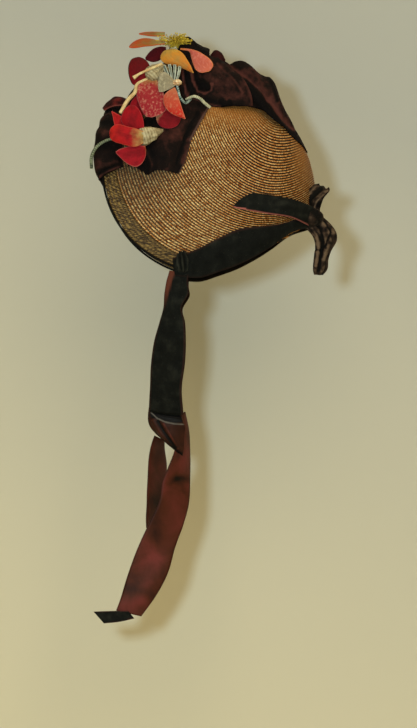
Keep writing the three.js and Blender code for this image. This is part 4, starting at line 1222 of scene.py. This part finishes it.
    def arches(self, table: Rows, along: int, across: int, folds: int, depth: float) -> Array:
        """Rows of arches: each a half superellipse from foot to foot, leaning back at its feet.

        Args:
            table: the rows.
            along: steps from the first row to the last.
            across: steps over an arch.
            folds: waves over an arch.
            depth: their height.

        Returns:
            The grid of the cloth's middle.
        """
        u = np.linspace(0, 1, along + 1)
        y, top, half, foot, lean, square = even(np.array(table, float), u)[:, None].transpose(2, 0, 1)
        angle = np.pi * (1 - np.linspace(0, 1, across + 1))[None]
        c, s = np.cos(angle), np.sin(angle)
        power = 2 / square
        swell = 1 + depth / half * np.sin(folds * angle + 5 * u[:, None]) * s
        rise = np.abs(s) ** power * swell
        x = np.sign(c) * np.abs(c) ** power * half * swell
        return np.stack([x, y + lean * (1 - rise**self.lean_power), foot + (top - foot) * rise], -1)

    def build_rim(self) -> None:
        """The drape wrapped over the front rim."""
        u, v = np.linspace(0, 1, 97), np.linspace(0, 1, 41)
        table = even(np.array(self.rim_drape), u)
        profile = np.pad(np.array(self.rim_profile), ((0, 0), (0, 1)))
        across = centripetal(profile, v)[None]
        turn, full = table[:, :1], table[:, 1:]
        turn, full, reach, off = np.broadcast_arrays(turn, full, across[..., 0], across[..., 1])
        reach, off = np.where(reach < 0, reach, reach * full), np.where(off > 0, off * full, off)
        waves = np.sin(2 * np.pi * (u[:, None] * 9 + 0.6 * ripple(u[:, None] * 2, v[None], seed=41)))
        lift = waves * np.sin(np.pi * np.clip(v[None] * 1.5, 0, 1))
        drape = raised(STRAW.rim(turn, reach, off), 0.9 * lift)
        # The crests of the waves are painted lighter and their troughs darker, as light and shade.
        self.add_cloth(
            "front_drape", drape, DRAPE_VELVET, Held.DRAPED, ("front_braid_plait", "straw_shell_plait"),
            tone=-0.25 + 0.2 * lift, edge=hairline(drape, 0.4, 0.4),
        )

    def build_front_loops(self) -> None:
        """The large flat loop on each side of the brim, and the small one over the rim."""
        rows = np.array(self.front_loop)
        a, b = on_side(rows[:, :2], rows[:, 2]), on_side(rows[:, 3:5], rows[:, 5])
        loop = strip(a, b, rows[:, 6], along=60, across=36)
        u, v = shares(loop)
        soft = ripple(u * 1.6, v * 1.2, seed=52)
        loop, tone = creased(loop, self.loop_creases)
        loop = resting(raised(loop, 1.1 * soft), CLEAR)
        loop[..., 2] -= 6 * u**12 * np.exp(-(((v - 0.36) / 0.15) ** 2))
        # Painted light over the middle of the loop and on its softly raised places, darker elsewhere.
        lit = 0.8 * np.exp(-(((u - 0.45) / 0.2) ** 2) - (((v - 0.66) / 0.2) ** 2)) - 0.35
        self.add_pair(
            "front_loop_{}", loop, DRAPE_VELVET, Held.DRAPED, "straw_shell_plait",
            tone=lit + tone + 0.15 * soft, edge=hairline(loop, 0.0, 0.75, 1.2),
        )
        small = free_strip(self.small_loop, along=30, across=12)
        u, v = shares(small)
        small = raised(small, 0.5 * ripple(u * 2, v * 2, seed=57))
        self.add_cloth(
            "front_loop_small", small, WINE_VELVET, Held.FOLDED, ("front_drape_velvet",),
            tone=0.1 + 0.3 * ripple(u * 2, v, seed=58), edge=hairline(small, 0.6, 0.6),
        )

    def build_crown(self) -> None:
        """The wide drape over the crown, its rolled back edge, and the two loops on top."""
        crown, tone = creased(self.arches(self.crown, 84, 120, folds=7, depth=1.0), self.crown_creases)
        u, v = shares(crown)
        crown = resting(raised(crown, 0.5 * ripple(u * 4, v * 5, seed=61)), CLEAR)
        hem = np.clip((u - 0.965) / 0.035, 0, 1)
        self.add_cloth(
            "crown_drape", crown, DRAPE_VELVET, Held.GATHERED, ("straw_shell_plait",),
            thickness=CLOTH_MM + 1.3 * hem * (1 - hem) * 4, tone=tone + 0.55 * hem + 0.1,
        )
        ridge = self.arches(self.ridge, 40, 48, folds=5, depth=0.7)
        u, v = shares(ridge)
        ridge = raised(ridge, 0.5 * ripple(u * 3, v * 3, seed=63))
        tone = -0.35 + 0.2 * ripple(u * 3, v * 4, seed=64)
        self.add_cloth("top_ridge_loop", ridge, DRAPE_VELVET, Held.FOLDED, ("crown_drape_velvet",), tone=tone)
        puff = self.arches(self.small_puff, 24, 32, folds=3, depth=0.4)
        u, v = shares(puff)
        tone = 0.05 + 0.2 * ripple(u * 2, v * 3, seed=66)
        self.add_cloth("small_puff", puff, WINE_VELVET, Held.FOLDED, ("crown_drape_velvet",), tone=tone)

    def build_back(self) -> None:
        """The long puff down the back, with a ridge along it in painted light and a hollow under the ridge in
        painted shade.
        """
        puff, tone = creased(self.arches(self.puff, 96, 96, folds=4, depth=0.8), self.puff_creases)
        u, v = shares(puff)
        soft = ripple(u * 4, v * 3, seed=71)
        puff = resting(raised(puff, 0.5 * soft), CLEAR)
        tone = tone + 0.1 * soft
        self.add_cloth("back_puff", puff, DRAPE_VELVET, Held.GATHERED, ("straw_shell_plait",), tone=tone)


@dataclass(frozen=True)
class Petal:
    """One pressed petal or leaf, by its two edges from heart to tip as they look from the side.

    "heart" and "tip" are its places along X, "lean" is how much nearer the second edge is, and "cup" is how
    far its middle stands out.
    """

    name: str
    heart: float
    tip: float
    lean: float
    cup: float
    finish: PetalCloth
    first: Rows
    second: Rows

    def surface(self, seed: int) -> Surface:
        """Straight across between the two curved edges, cupped as one less the square of the share across.

        Args:
            seed: which random waves it has.

        Returns:
            The petal, with the pattern coordinate in shares across (-1 to 1) and along.
        """
        share = np.unique(np.clip(0.5 - 0.5 * np.cos(np.pi * np.linspace(0, 1, 33)), 0.004, 0.996))
        first, second = centripetal(np.array(self.first), share), centripetal(np.array(self.second), share)
        s, side = share[:, None], np.linspace(-1, 1, 19)[None]
        flat = first[:, None] * (1 - side[..., None]) / 2 + second[:, None] * (1 + side[..., None]) / 2
        wave = 0.5 * ripple(s * 1.8, side * 0.9, seed) * (0.3 + side * side)
        crease = -0.5 * np.exp(-((side / 0.1) ** 2))
        lift = (self.cup * (1 - side * side) + wave + crease) * np.sin(np.pi * s)
        depth = self.heart + (self.tip - self.heart) * s + self.lean * side / 2 + lift
        half = np.linalg.norm(second - first, axis=1)[:, None] / 2
        reach = float(np.linalg.norm((first + second)[-1] - (first + second)[0])) / 2
        far = np.minimum((1 - np.abs(side)) * half, (1 - s) * reach)
        middle = seen(np.concatenate([depth[..., None], flat], -1))
        made = wall(middle, PETAL_MM, {"edge": np.clip(1 - far / 0.8, 0, 1) * 0.75})
        made.uv = np.tile(np.stack(np.broadcast_arrays(side, s), -1).reshape(-1, 2), (2, 1))
        return made


@dataclass(frozen=True)
class Rod:
    """A wired rod by rows of x, y, z and radius, and how many ribs go round it."""

    name: str
    ribs: int
    finish: WrappedWire
    rows: Rows

    def surface(self) -> Surface:
        """A tube with an uneven winding."""
        table, u = np.array(self.rows, float), np.linspace(0, 1, 41)
        radius = even(table[:, 3:], u)[:, 0] * (1 + 0.05 * ripple(u * 5, u * 0, len(self.name)))
        path = centripetal(seen(table[:, :3]), u)
        return tube(path, radius, 36, self.ribs, 0.07) if self.ribs else tube(path, radius, 14)


# Petals: colours of the heart, body, tip, rim and specks, how far the heart goes, how strong the specks are,
# and the colour and strength of the dye in the middle.
ORANGE = PetalCloth(
    "orange pressed sateen", "orange_cloth", "#d8a848", "#cc8830", "#c06a24", "#dc9c44", "#a87a3a", 0.25,
    0.6, "#9a8446", 0.75,
)
THIN_ORANGE = PetalCloth(
    "rust pressed sateen", "orange_cloth", "#8c8244", "#96501e", "#b03a14", "#b84c1c", "#6c5c30", 0.3,
    0.5, "#6e6a38", 0.7,
)
SALMON = PetalCloth(
    "salmon pressed sateen", "pink_cloth", "#c86a30", "#b8584c", "#c4644c", "#e08a48", "#d48a78", 0.12,
    0.7, "#94342c", 0.5,
)
CORAL = PetalCloth(
    "coral pressed sateen", "pink_cloth", "#c47850", "#b4583e", "#bc2018", "#d48462", "#c88664", 0.15,
    0.7, "#a04a34", 0.5,
)
MOTTLED = PetalCloth(
    "mottled pressed sateen", "pink_cloth", "#b08a4c", "#982c2c", "#96202a", "#b86860", "#c8806a", 0.12,
    0.85, "#861820", 0.5,
)
CRIMSON = PetalCloth(
    "crimson pressed sateen", "red_cloth", "#a01820", "#8c0a14", "#980c18", "#b8303a", "#a01c26", 0.02,
    0.45,
)
CREAM_HEART = PetalCloth(
    "cream-hearted sateen", "red_cloth", "#c8a478", "#7c0e18", "#86101a", "#a03038", "#96202a", 0.2, 0.45,
)
DARK_CRIMSON = PetalCloth(
    "dark crimson sateen", "red_cloth", "#a81018", "#6c060d", "#50060b", "#1c0806", "#84101a", 0.2, 0.4,
    "#48050a", 0.6,
)
SCARLET = PetalCloth(
    "scarlet pressed sateen", "red_cloth", "#a88a50", "#a0101a", "#b41c16", "#c8402c", "#b42c20", 0.2,
    0.5,
)
SCARLET_TIP = PetalCloth(
    "scarlet curled sateen", "red_cloth", "#a8101a", "#ac121a", "#b81c1c", "#c84a40", "#b02020", 0.02,
    0.4,
)
PALE_RIM = PetalCloth(
    "rose pressed sateen", "red_cloth", "#9c6a30", "#900e1a", "#9c1420", "#cc6c60", "#a82430", 0.06, 0.45,
)
WINE = PetalCloth(
    "wine pressed sateen", "red_cloth", "#3a0810", "#3c080e", "#4e0a14", "#5a1a22", "#5c101a", 0.05, 0.5,
)
SEPAL = PetalCloth(
    "sized cotton leaf", "sepal_cloth", "#b0a07a", "#a0947a", "#8a8068", "#b8ac90", "#c4b898", 0.15, 0.8,
    "#746a52", 0.7,
)
BRACT = PetalCloth(
    "striped cotton bract", "sepal_cloth", "#b8bca4", "#8c9484", "#a4aa98", "#ccd0bc", "#c0c4b0", 0.2,
    0.8, "#3c4840", 0.9,
)
BEIGE_WIRE = WrappedWire("beige waxed calyx", "pale_stem", "#7c6a48", "#bcae88", 1.8)
PEACH_WIRE = WrappedWire("peach waxed wire", "pale_stem", "#b88c58", "#dcc892", 1.3)
GREEN_WIRE = WrappedWire("green waxed wire", "pale_stem", "#2c3022", "#848a6c", 1.8)
PALE_WIRE = WrappedWire("pale green waxed wire", "pale_stem", "#77775c", "#d4ceac", 1.4)
TEAL_WIRE = WrappedWire("teal waxed wire", "pale_stem", "#1c3c38", "#b4c4b8", 1.8)
STAMEN = WrappedWire("yellow starched thread", "stamen", "#8c7018", "#e2c63c", 0.9)
CREAM_KNOB = WrappedWire("cream waxed knob", "pale_stem", "#d09860", "#f0e0b8", 1.6)


@dataclass
class Flowers(Assembly):
    """Three cloth flowers, one over another, with their wired stems and loose threads."""

    petals: tuple[Petal, ...] = (
        Petal(
            "petal_c1", 31, 42, 2, 2.5, ORANGE,
            ((-31.5, 40.5), (-38.5, 38), (-41, 32.5), (-38, 28.5), (-30, 26.5), (-22, 24), (-12.7, 19.8)),
            ((-31.5, 40.7), (-27, 39.7), (-23.5, 38), (-20.5, 35), (-18, 31), (-15, 26), (-12.5, 19.8)),
        ),
        Petal(
            "petal_c2", 31, 38, -1, 2, SALMON,
            ((-24, 39.8), (-16, 38.4), (-14.3, 33), (-12.7, 27.3), (-10.5, 22.5), (-6, 20), (0.5, 21.2)),
            ((-24, 41), (-16, 40.2), (-8.7, 38.2), (-3, 35), (1.8, 31.3), (4.4, 26.5), (1.8, 21.7)),
        ),
        Petal(
            "petal_c3", 20, 12, 7, 0.6, THIN_ORANGE,
            ((-37, 54.6), (-44.7, 55), (-50, 55), (-54.5, 54.7), (-59.4, 53.7)),
            ((-37, 51.8), (-44.7, 51.4), (-50, 51.6), (-54.5, 52.2), (-59.4, 53.2)),
        ),
        Petal(
            "petal_c4", 36, 46, 8, 1, THIN_ORANGE,
            ((-37, 46.5), (-43, 47.4), (-49, 49), (-55.3, 49.5), (-60.5, 48.2), (-65, 45.6), (-68, 42.3)),
            ((-37, 44.7), (-43, 44), (-49, 43), (-55.3, 42.5), (-60.5, 41.6),
             (-64.5, 41.3), (-67.8, 41.8)),
        ),
        Petal(
            "petal_c5", 27, 22, 0, 1.5, WINE,
            ((-36, 42), (-41, 42.4), (-46, 41), (-50, 38), (-54, 33)),
            ((-36, 39), (-38.5, 34.5), (-42, 30.5), (-47.5, 29.2), (-53.6, 31)),
        ),
        Petal(
            "petal_b1", 56, 51, 0, 2.5, DARK_CRIMSON,
            ((-58, 10.5), (-64, 9.5), (-67.2, 14.5), (-68.5, 21.5), (-68, 27.3),
             (-65.5, 31.6), (-60.5, 33.4)),
            ((-55, 11), (-51.5, 15.5), (-50, 20), (-50, 24.5), (-51.5, 28.3),
             (-54.5, 31.4), (-58.5, 33.3)),
        ),
        Petal(
            "petal_b2", 58, 64, 1, 2, MOTTLED,
            ((-52, 14), (-58.5, 10.6), (-61.8, 5), (-61, -2.2), (-58.8, -8.3),
             (-56.3, -13.5), (-53, -18)),
            ((-44, 14), (-41, 8.5), (-38.2, 2.2), (-36.9, -4.8), (-36, -11.5),
             (-40.8, -15.8), (-48.3, -18.4)),
        ),
        Petal(
            "petal_b3", 64, 70, 1, 2, CORAL,
            ((-29.2, 7), (-34.2, 4), (-37.7, 0.5), (-38.4, -4), (-37, -9),
             (-32.5, -14.2), (-19.6, -19.9)),
            ((-28.3, 7.3), (-26.6, 2.8), (-25.3, -1.6), (-23.9, -6), (-22.5, -10.4),
             (-21, -14.8), (-19.2, -19.6)),
        ),
        Petal(
            "petal_b4", 60, 61, 0, 1.5, CREAM_HEART,
            ((-44.7, -17), (-43.7, -22.4), (-40.8, -26.2), (-36, -27.9), (-30.7, -27.6),
             (-26.5, -25.3), (-24, -21)),
            ((-44.2, -16), (-40.4, -13.5), (-36, -11.6), (-31.6, -11.6), (-27.6, -13.5),
             (-24.5, -16), (-23.2, -19)),
        ),
        Petal(
            "petal_b5", 57, 55, 0, 1, CRIMSON,
            ((-60.5, 1), (-65, -3.5), (-67, -8.3), (-65, -13.6), (-60, -17)),
            ((-58, 1), (-54.5, -3.9), (-53, -9.2), (-53.5, -13.6), (-57, -17.2)),
        ),
        Petal(
            "petal_a1", 75, 73, 0, 2.5, CRIMSON,
            ((-64, -28), (-71.5, -26), (-74.8, -20.6), (-73.5, -15), (-70.4, -10.2), (-66.8, -8.1)),
            ((-55, -28), (-55.6, -21.5), (-57, -16.5), (-59, -12.6), (-61.6, -9.4), (-64.6, -8)),
        ),
        Petal(
            "petal_a2", 79, 80, 1, 2.5, SCARLET,
            ((-55.5, -30.5), (-62, -28), (-69.3, -26.4), (-75.5, -24.6), (-80, -25),
             (-83.3, -27.8), (-84.6, -31.2)),
            ((-55.5, -40.5), (-62, -43.6), (-69.3, -42.6), (-75.5, -40.8), (-80, -39.4),
             (-83.2, -37.2), (-84.6, -34)),
        ),
        Petal(
            "petal_a3", 73, 69, 0, 1, SCARLET_TIP,
            ((-80, -27), (-80.8, -23.5), (-81.4, -20), (-81.9, -17), (-83, -13.5)),
            ((-70, -26), (-71.5, -21.5), (-75.2, -17.3), (-78.6, -15.4), (-82.6, -13.1)),
        ),
        Petal(
            "petal_a4", 75, 76, 0, 1.5, PALE_RIM,
            ((-54, -43), (-57.5, -42.6), (-62.3, -42.4), (-67.6, -43), (-72.4, -44.6),
             (-76.3, -46), (-79.4, -48)),
            ((-53.3, -46), (-54, -52.2), (-57, -58), (-61.8, -60.9), (-68.4, -58.7),
             (-75.3, -52.8), (-79.3, -48.8)),
        ),
        Petal(
            "sepal_b", 60, 66, 0, 1.5, SEPAL,
            ((-28, 12.2), (-32, 16), (-37, 20.5), (-41, 19.5), (-42.6, 13), (-42.8, 6.5)),
            ((-27.8, 10.2), (-30, 7.8), (-33, 6), (-36, 4.8), (-38.5, 3.8), (-42, 3.4)),
        ),
        Petal(
            "bract_b1", 57, 52, 1, 0.6, BRACT,
            ((-32.6, 12.6), (-36.2, 19), (-39, 26)), ((-31.6, 13), (-34, 19.3), (-36.8, 26.8)),
        ),
        Petal(
            "bract_b2", 57, 51, -1, 0.6, BRACT,
            ((-31, 13), (-32.8, 19.8), (-34.4, 27)), ((-30.2, 13.2), (-31, 19.8), (-32, 27.4)),
        ),
        Petal(
            "bract_b3", 57, 51, 1, 0.6, BRACT,
            ((-29.6, 13.2), (-29.6, 19.8), (-29.8, 27)), ((-28.8, 13.2), (-27.7, 19.8), (-27.4, 26.8)),
        ),
        Petal(
            "bract_b4", 57, 52, -1, 0.6, BRACT,
            ((-28, 13), (-26.3, 19), (-25.4, 25.9)), ((-26.9, 12.6), (-24.6, 18), (-23.2, 25)),
        ),
    )
    rods: tuple[Rod, ...] = (
        Rod("calyx_a", 9, BEIGE_WIRE, (
            (71, -60, -36, 5), (72, -55.5, -34.8, 7.4), (71, -49, -32.8, 6), (67, -44, -31, 3.4),
            (60, -39.5, -29.8, 1.5), (50, -37, -29, 1.3),
        )),
        Rod("calyx_b", 9, BEIGE_WIRE, (
            (58, -51, 15, 4), (57, -48, 18.5, 7), (54, -44, 22, 5.4), (47, -39, 25, 2.4),
            (36, -34, 22, 1.5),
        )),
        Rod("stalk_c", 6, PALE_WIRE, (
            (30, -30, 42, 3), (28, -28, 37, 2.4), (26, -26, 26, 1.5), (24, -24, 18, 1.5),
        )),
        Rod("spur_b1", 0, PEACH_WIRE, (
            (60, -39.6, 27.5, 1.3), (64, -49, 23.5, 1.1), (66, -59, 19, 1.0), (67, -64, 15.6, 1.8),
        )),
        Rod("spur_b2", 0, PEACH_WIRE, (
            (57, -52, 15, 1.2), (59, -61, 10, 1.3), (63, -63, 3, 1.6), (68, -68.8, -3.4, 1.7),
            (73, -75.5, -14.5, 1.4),
        )),
        Rod("stem_left", 0, GREEN_WIRE, (
            (72, -66, -37, 1.2), (64, -83, -37, 1.2), (62, -92.5, -41, 1.3), (63, -97.5, -46, 1.4),
            (63, -100.3, -53, 1.4), (62, -100.2, -62.5, 1.4),
        )),
        Rod("stem_right", 0, PALE_WIRE, (
            (46, -19, -3, 1.1), (47, -12, -0.3, 1.2), (46, -7, -2.2, 1.3), (43, -3, -6, 1.4),
            (40, 1.8, -9.8, 1.3),
        )),
        Rod("stem_teal", 0, TEAL_WIRE, (
            (58, -27, 10, 1.0), (58, -24, -1, 1.1), (52, -19.5, -6, 1.1), (44, -15, -3, 1.1),
        )),
    )
    stamen_place: Place = (30, -29, 48)
    stamen_half: Place = (13, 16.5, 7)
    stamen_count: int = 150
    knob_place: Place = (60, -26.5, 11.6)
    knob_half: Place = (6, 3.6, 2.6)
    first_seed: int = 300

    def build(self) -> None:
        """Makes the petals, the rods, the stamens and the knob."""
        for number, petal in enumerate(self.petals):
            self.add_piece(petal.name, petal.surface(self.first_seed + number), petal.finish)
        for rod in self.rods:
            self.add_piece(rod.name, rod.surface(), rod.finish)
        self.add_piece("stamens_c", self.stamens(), STAMEN, "stamens_c_threads")
        knob = lump(seen(np.array(self.knob_place)), self.knob_half, seed=91, folds=4, depth=0.12)
        self.add_piece("knob_b", knob, CREAM_KNOB, "knob_b_wax")

    def stamens(self) -> Surface:
        """Many starched threads from the flower's heart out to a flattened dome, each with a small head.

        Returns:
            All the threads as one surface.
        """
        draw = np.random.default_rng(7)
        centre, half = seen(np.array(self.stamen_place, float)), np.array(self.stamen_half)
        threads = []
        for _ in range(self.stamen_count):
            turn, rise = draw.uniform(0, 2 * np.pi), draw.uniform(-0.7, 0.95)
            flat = math.sqrt(1 - rise * rise)
            way = np.array([flat * math.cos(turn), flat * math.sin(turn), rise])
            end = centre + half * way * draw.uniform(0.6, 1.05)
            root = centre + np.array([0, 0, -half[2] * 0.6]) + draw.normal(0, 1.6, 3)
            bow = (root + end) / 2 + np.array([0, 0, draw.uniform(0.2, 1.8)])
            path = np.stack([root, bow, end - (end - bow) * 0.12, end])
            threads.append(tube(path, np.array([0.24, 0.2, 0.24, draw.uniform(0.5, 0.95)]), 4))
        starts = np.cumsum([0] + [len(thread.points) for thread in threads])
        faces = [[k + start for k in face] for thread, start in zip(threads, starts) for face in thread.faces]
        points = np.concatenate([thread.points for thread in threads])
        return Surface(points, faces, np.concatenate([thread.uv for thread in threads]))


@dataclass
class ChinTies(Assembly):
    """The two velvet ties from the ears, the loop and wraps of their knot below the chin, and its tails."""

    # Columns of the strips: ay, az, ax, by, bz, bx, puff.
    tie: Rows = (
        (-33, -150, 70, -17, -153.5, 71, 0), (-35.5, -159, 69, -17.5, -161, 70, 1),
        (-37, -168, 67, -16.5, -169.5, 69, 2), (-38, -180, 64, -23, -181.5, 66, 3),
        (-41.3, -194.4, 59, -20.6, -193, 63, 2), (-46.4, -211.6, 51, -19.8, -214, 56, 1),
        (-49, -231, 41, -20.6, -231, 47, 1), (-49.9, -251, 30, -23.2, -253, 36, 1),
        (-50.7, -270, 18, -21.5, -274, 23, 1),
    )
    loop: Rows = (
        (-51, -268, 18.5, -22, -272, 23.2, 0), (-51, -271, 12, -22, -277, 14, 1),
        (-48, -273, 4, -23, -278, 4, 2), (-48, -273, -4, -23, -278, -4, 2),
        (-51, -271, -12, -22, -277, -14, 1), (-51, -268, -18.5, -22, -272, -23.2, 0),
    )
    wrap: Rows = (
        (-51.5, -271.5, 16, -23, -276.5, 20, 1), (-51, -281, 13, -20, -285, 15, 5),
        (-46.5, -289, 12, -20.5, -291.5, 13, 5), (-38, -297, 10, -21, -301.5, 10, 3),
        (-27, -306.5, 7, -21.8, -309.5, 7, 0),
    )
    tail_back: Rows = (
        (-46, -292, 0, -38, -296, -16, 0), (-50, -304.4, 1, -37, -309, -22, 1),
        (-51.6, -321.6, 1, -36, -326, -25, 1), (-52.5, -339, 1, -35.5, -341, -26, 1),
        (-53, -356, 1, -36.5, -357, -26, 1), (-53.3, -371.5, 1, -42, -373, -27, 0),
    )
    tail_front: Rows = (
        (-25.5, -274.5, 5, -20, -271.5, -6, 0), (-28, -290, 6, -16.5, -288, -13, 1),
        (-28.5, -305, 8, -15.8, -303, -15, 1), (-34, -320, 9, -15.3, -319, -14, 2),
        (-39, -332, 9, -15.6, -331, -12, 2), (-41.5, -347.4, 9, -17, -350, -8, 1),
        (-50, -366, 9, -21.5, -368.5, -4, 1), (-61, -390, 9, -28.4, -388, 0, 1),
        (-69.7, -414, 9, -34.4, -409.5, 3, 1), (-75, -431.5, 9, -44, -428.5, 4, 1),
        (-79, -442.5, 9, -57.5, -447.5, 5, 0),
    )
    tail_end: Rows = (
        (-98.5, -443.5, 12, -89.5, -453.6, 12, 0), (-88, -443.2, 12, -79, -452.5, 12, 1),
        (-78, -442.8, 10.4, -70, -451, 9.4, 0), (-68.5, -442.9, 8.3, -63.5, -449.4, 7.2, 0),
    )
    knot_place: Place = (73, -22, -143)
    knot_half: Place = (5.5, 5.4, 8.6)
    stains: tuple[Crease, ...] = (
        Crease(((-27, -328), (-22, -329), (-16, -330)), 3.4, 0, -0.7),
        Crease(((-34, -334), (-27, -329)), 2.0, 0, -0.5),
        Crease(((-44, -345), (-46, -375)), 7.0, 0, -0.35),
        Crease(((-57, -392), (-40, -400)), 9.0, 0, 0.35),
        Crease(((-70, -422), (-50, -428)), 6.0, 0, -0.5),
        Crease(((-72, -438), (-56, -434)), 7.0, 0, 0.55), Crease(((-26, -300), (-20, -312)), 8.0, 0, 0.3),
        Crease(((-30, -345), (-24, -366)), 9.0, 0, 0.15),
    )
    selvedge: Crease = Crease(
        ((-49, -272), (-44, -277), (-37, -280.4), (-29, -282), (-21, -282.3)), 0.55, 0, 0
    )
    # Folds in painted light and hollows in painted shade.
    wrap_creases: tuple[Crease, ...] = (
        Crease(((-46, -274), (-36, -277), (-24, -278)), 2.4, -1.0, -2.2),
        Crease(((-47, -279), (-42, -288), (-32, -299)), 1.6, 1.0, -0.2),
        Crease(((-43, -280), (-38, -289), (-28, -302)), 1.6, -1.2, -0.9),
        Crease(((-38, -282), (-35, -287), (-26, -303)), 0.9, 0.6, 0.05),
        Crease(((-47, -290), (-36, -300), (-24, -308)), 2.4, -0.6, -0.9),
    )

    def build(self) -> None:
        """Makes the knots at the ears, the ties, the knot below the chin and its tails."""
        place = seen(np.array(self.knot_place, float))
        for side, centre, seed in (("left", place, 81), ("right", place * FLIP, 83)):
            knot = lump(centre, self.knot_half, seed, folds=7, depth=0.2)
            self.add_piece(f"side_knot_{side}", knot, BAND_VELVET)
        tie = free_strip(self.tie, along=120, across=14)
        u, v = shares(tie)
        tie = raised(tie, 0.5 * ripple(u * 3, v, seed=85) + 0.3 * np.sin(2 * np.pi * v))
        back = np.clip((0.34 - 0.5 * u - v) / 0.06, 0, 1) * np.clip((0.42 - u) / 0.2, 0, 1)
        self.add_pair(
            "tie_{}", tie, BAND_VELVET, Held.HUNG, "side_knot_{}_velvet", turned=back,
            alike=0.12 * ripple(u * 6, v * 1.5, seed=87), edge=hairline(tie, 0.25, 0.25),
        )
        loop, ties = free_strip(self.loop, along=48, across=16), ("tie_left_velvet", "tie_right_velvet")
        self.add_cloth("chin_loop", loop, BAND_VELVET, Held.FOLDED, ties, edge=hairline(loop, 0.8, 0.8, 1.0))
        wrap, tone = creased(free_strip(self.wrap, along=64, across=32), self.wrap_creases)
        edge = np.clip(self.selvedge.strength(wrap) * 1.3 - 0.3, 0, 0.8)
        self.add_pair(
            "chin_wrap_{}", wrap, KNOT_SATIN, Held.FOLDED, "chin_loop_velvet", tone=tone - 0.3, edge=edge
        )
        tails = (("back", self.tail_back, 70, 33), ("front", self.tail_front, 130, 37))
        for name, table, along, seed in tails:
            tail, tone = creased(free_strip(table, along, across=14), self.stains)
            u, v = shares(tail)
            tail = raised(tail, 0.5 * ripple(u * 3, v * 0.8, seed))
            self.add_cloth(
                f"tail_{name}", tail, TIE_SATIN, Held.HUNG, ("chin_loop_velvet",),
                tone=tone + 0.1 * ripple(u * 4, v, seed + 1), edge=hairline(tail, 0.3, 0.3),
            )
        end = free_strip(self.tail_end, along=30, across=14)
        edge = hairline(end, 0.4, 0.4)
        self.add_cloth("tail_front_end", end, BAND_VELVET, Held.FOLDED, ("tail_front_satin",), edge=edge)


@dataclass
class Studio:
    """A pale paper wall and floor, soft lights, and the camera on the wearer's left."""

    camera_place: Place = (3.0, 0.0004, -0.2305)
    lens_mm: float = 172.5
    wall_x: float = -0.27
    floor_z: float = -0.615
    reach: float = 3.0
    aim: Place = (0.0, 0.0, -0.2)
    world_strength: float = 0.34

    def build(self) -> None:
        """Makes the stage, the lights and the camera."""
        camera = bpy.data.cameras.new("camera")
        camera.lens, camera.sensor_width, camera.clip_end = self.lens_mm, 36.0, 100.0
        eye = self.placed("camera", camera, self.camera_place)
        eye.rotation_euler = (math.pi / 2, 0, math.pi / 2)
        bpy.context.scene.camera = eye
        bpy.context.scene.view_settings.view_transform = "Standard"
        # The paper is painted lighter low down and towards -Y, as light falling across it; the floor is even.
        paper = PaperWall("backdrop paper with painted light", "", "#ddd2b4", "#b4b2a8", (0.0, -0.2, -0.55), (0.0, 0.5, 1.5))
        floor = PaperWall("floor paint", "", "#dcd6be", "#dcd6be")
        x, z, r = self.wall_x, self.floor_z, self.reach
        self.sheet("backdrop", [(x, -r, z), (x, r, z), (x, r, z + r), (x, -r, z + r)], paper)
        self.sheet("floor", [(-r, -r, z), (r + 1, -r, z), (r + 1, r, z), (-r, r, z)], floor)
        self.light("key", (2.6, -0.19, -0.13), 0.1, 30.0, (0.6, 0.82, 1.0))
        self.light("fill", (2.2, 0.2, 0.9), 1.4, 23.0, (1.0, 0.88, 0.6))
        self.light("top", (0.5, 0.4, 2.2), 1.4, 18.0, (1.0, 0.9, 0.68))
        world = bpy.data.worlds.new("room")
        world.use_nodes = True
        inputs = world.node_tree.nodes["Background"].inputs
        inputs[0].default_value, inputs[1].default_value = linear("#d6c898"), self.world_strength
        bpy.context.scene.world = world

    @staticmethod
    def placed(name: str, data: bpy.types.ID, place: Place = (0, 0, 0)) -> bpy.types.Object:
        """Links a new object at a place."""
        made = bpy.data.objects.new(name, data)
        made.location = place
        bpy.context.scene.collection.objects.link(made)
        return made

    def sheet(self, name: str, corners: list[Place], finish: Finish) -> None:
        """A flat piece of the stage."""
        mesh = bpy.data.meshes.new(name)
        mesh.from_pydata(corners, [], [[0, 1, 2, 3]])
        mesh.materials.append(finish.make())
        self.placed(name, mesh)

    def light(self, name: str, place: Place, size: float, watts: float, tint: Place) -> None:
        """A square soft light that faces the bonnet."""
        lamp = bpy.data.lights.new(name, "AREA")
        lamp.size, lamp.energy, lamp.color = size, watts, tint
        away = np.array(place) - np.array(self.aim)
        turn = (math.atan2(math.hypot(away[0], away[1]), away[2]), 0, math.atan2(away[0], -away[1]))
        self.placed(name, lamp, place).rotation_euler = turn


def main() -> None:
    """Builds the studio and each sub-assembly."""
    logging.basicConfig(level=logging.INFO, format="%(message)s")
    Studio().build()
    for assembly in (StrawBody(), NapeTrim(), Drapery(), Flowers(), ChinTies()):
        assembly.build()
        log.info("%s: %d pieces", type(assembly).__name__, len(assembly.pieces))


if __name__ == "__main__":
    main()
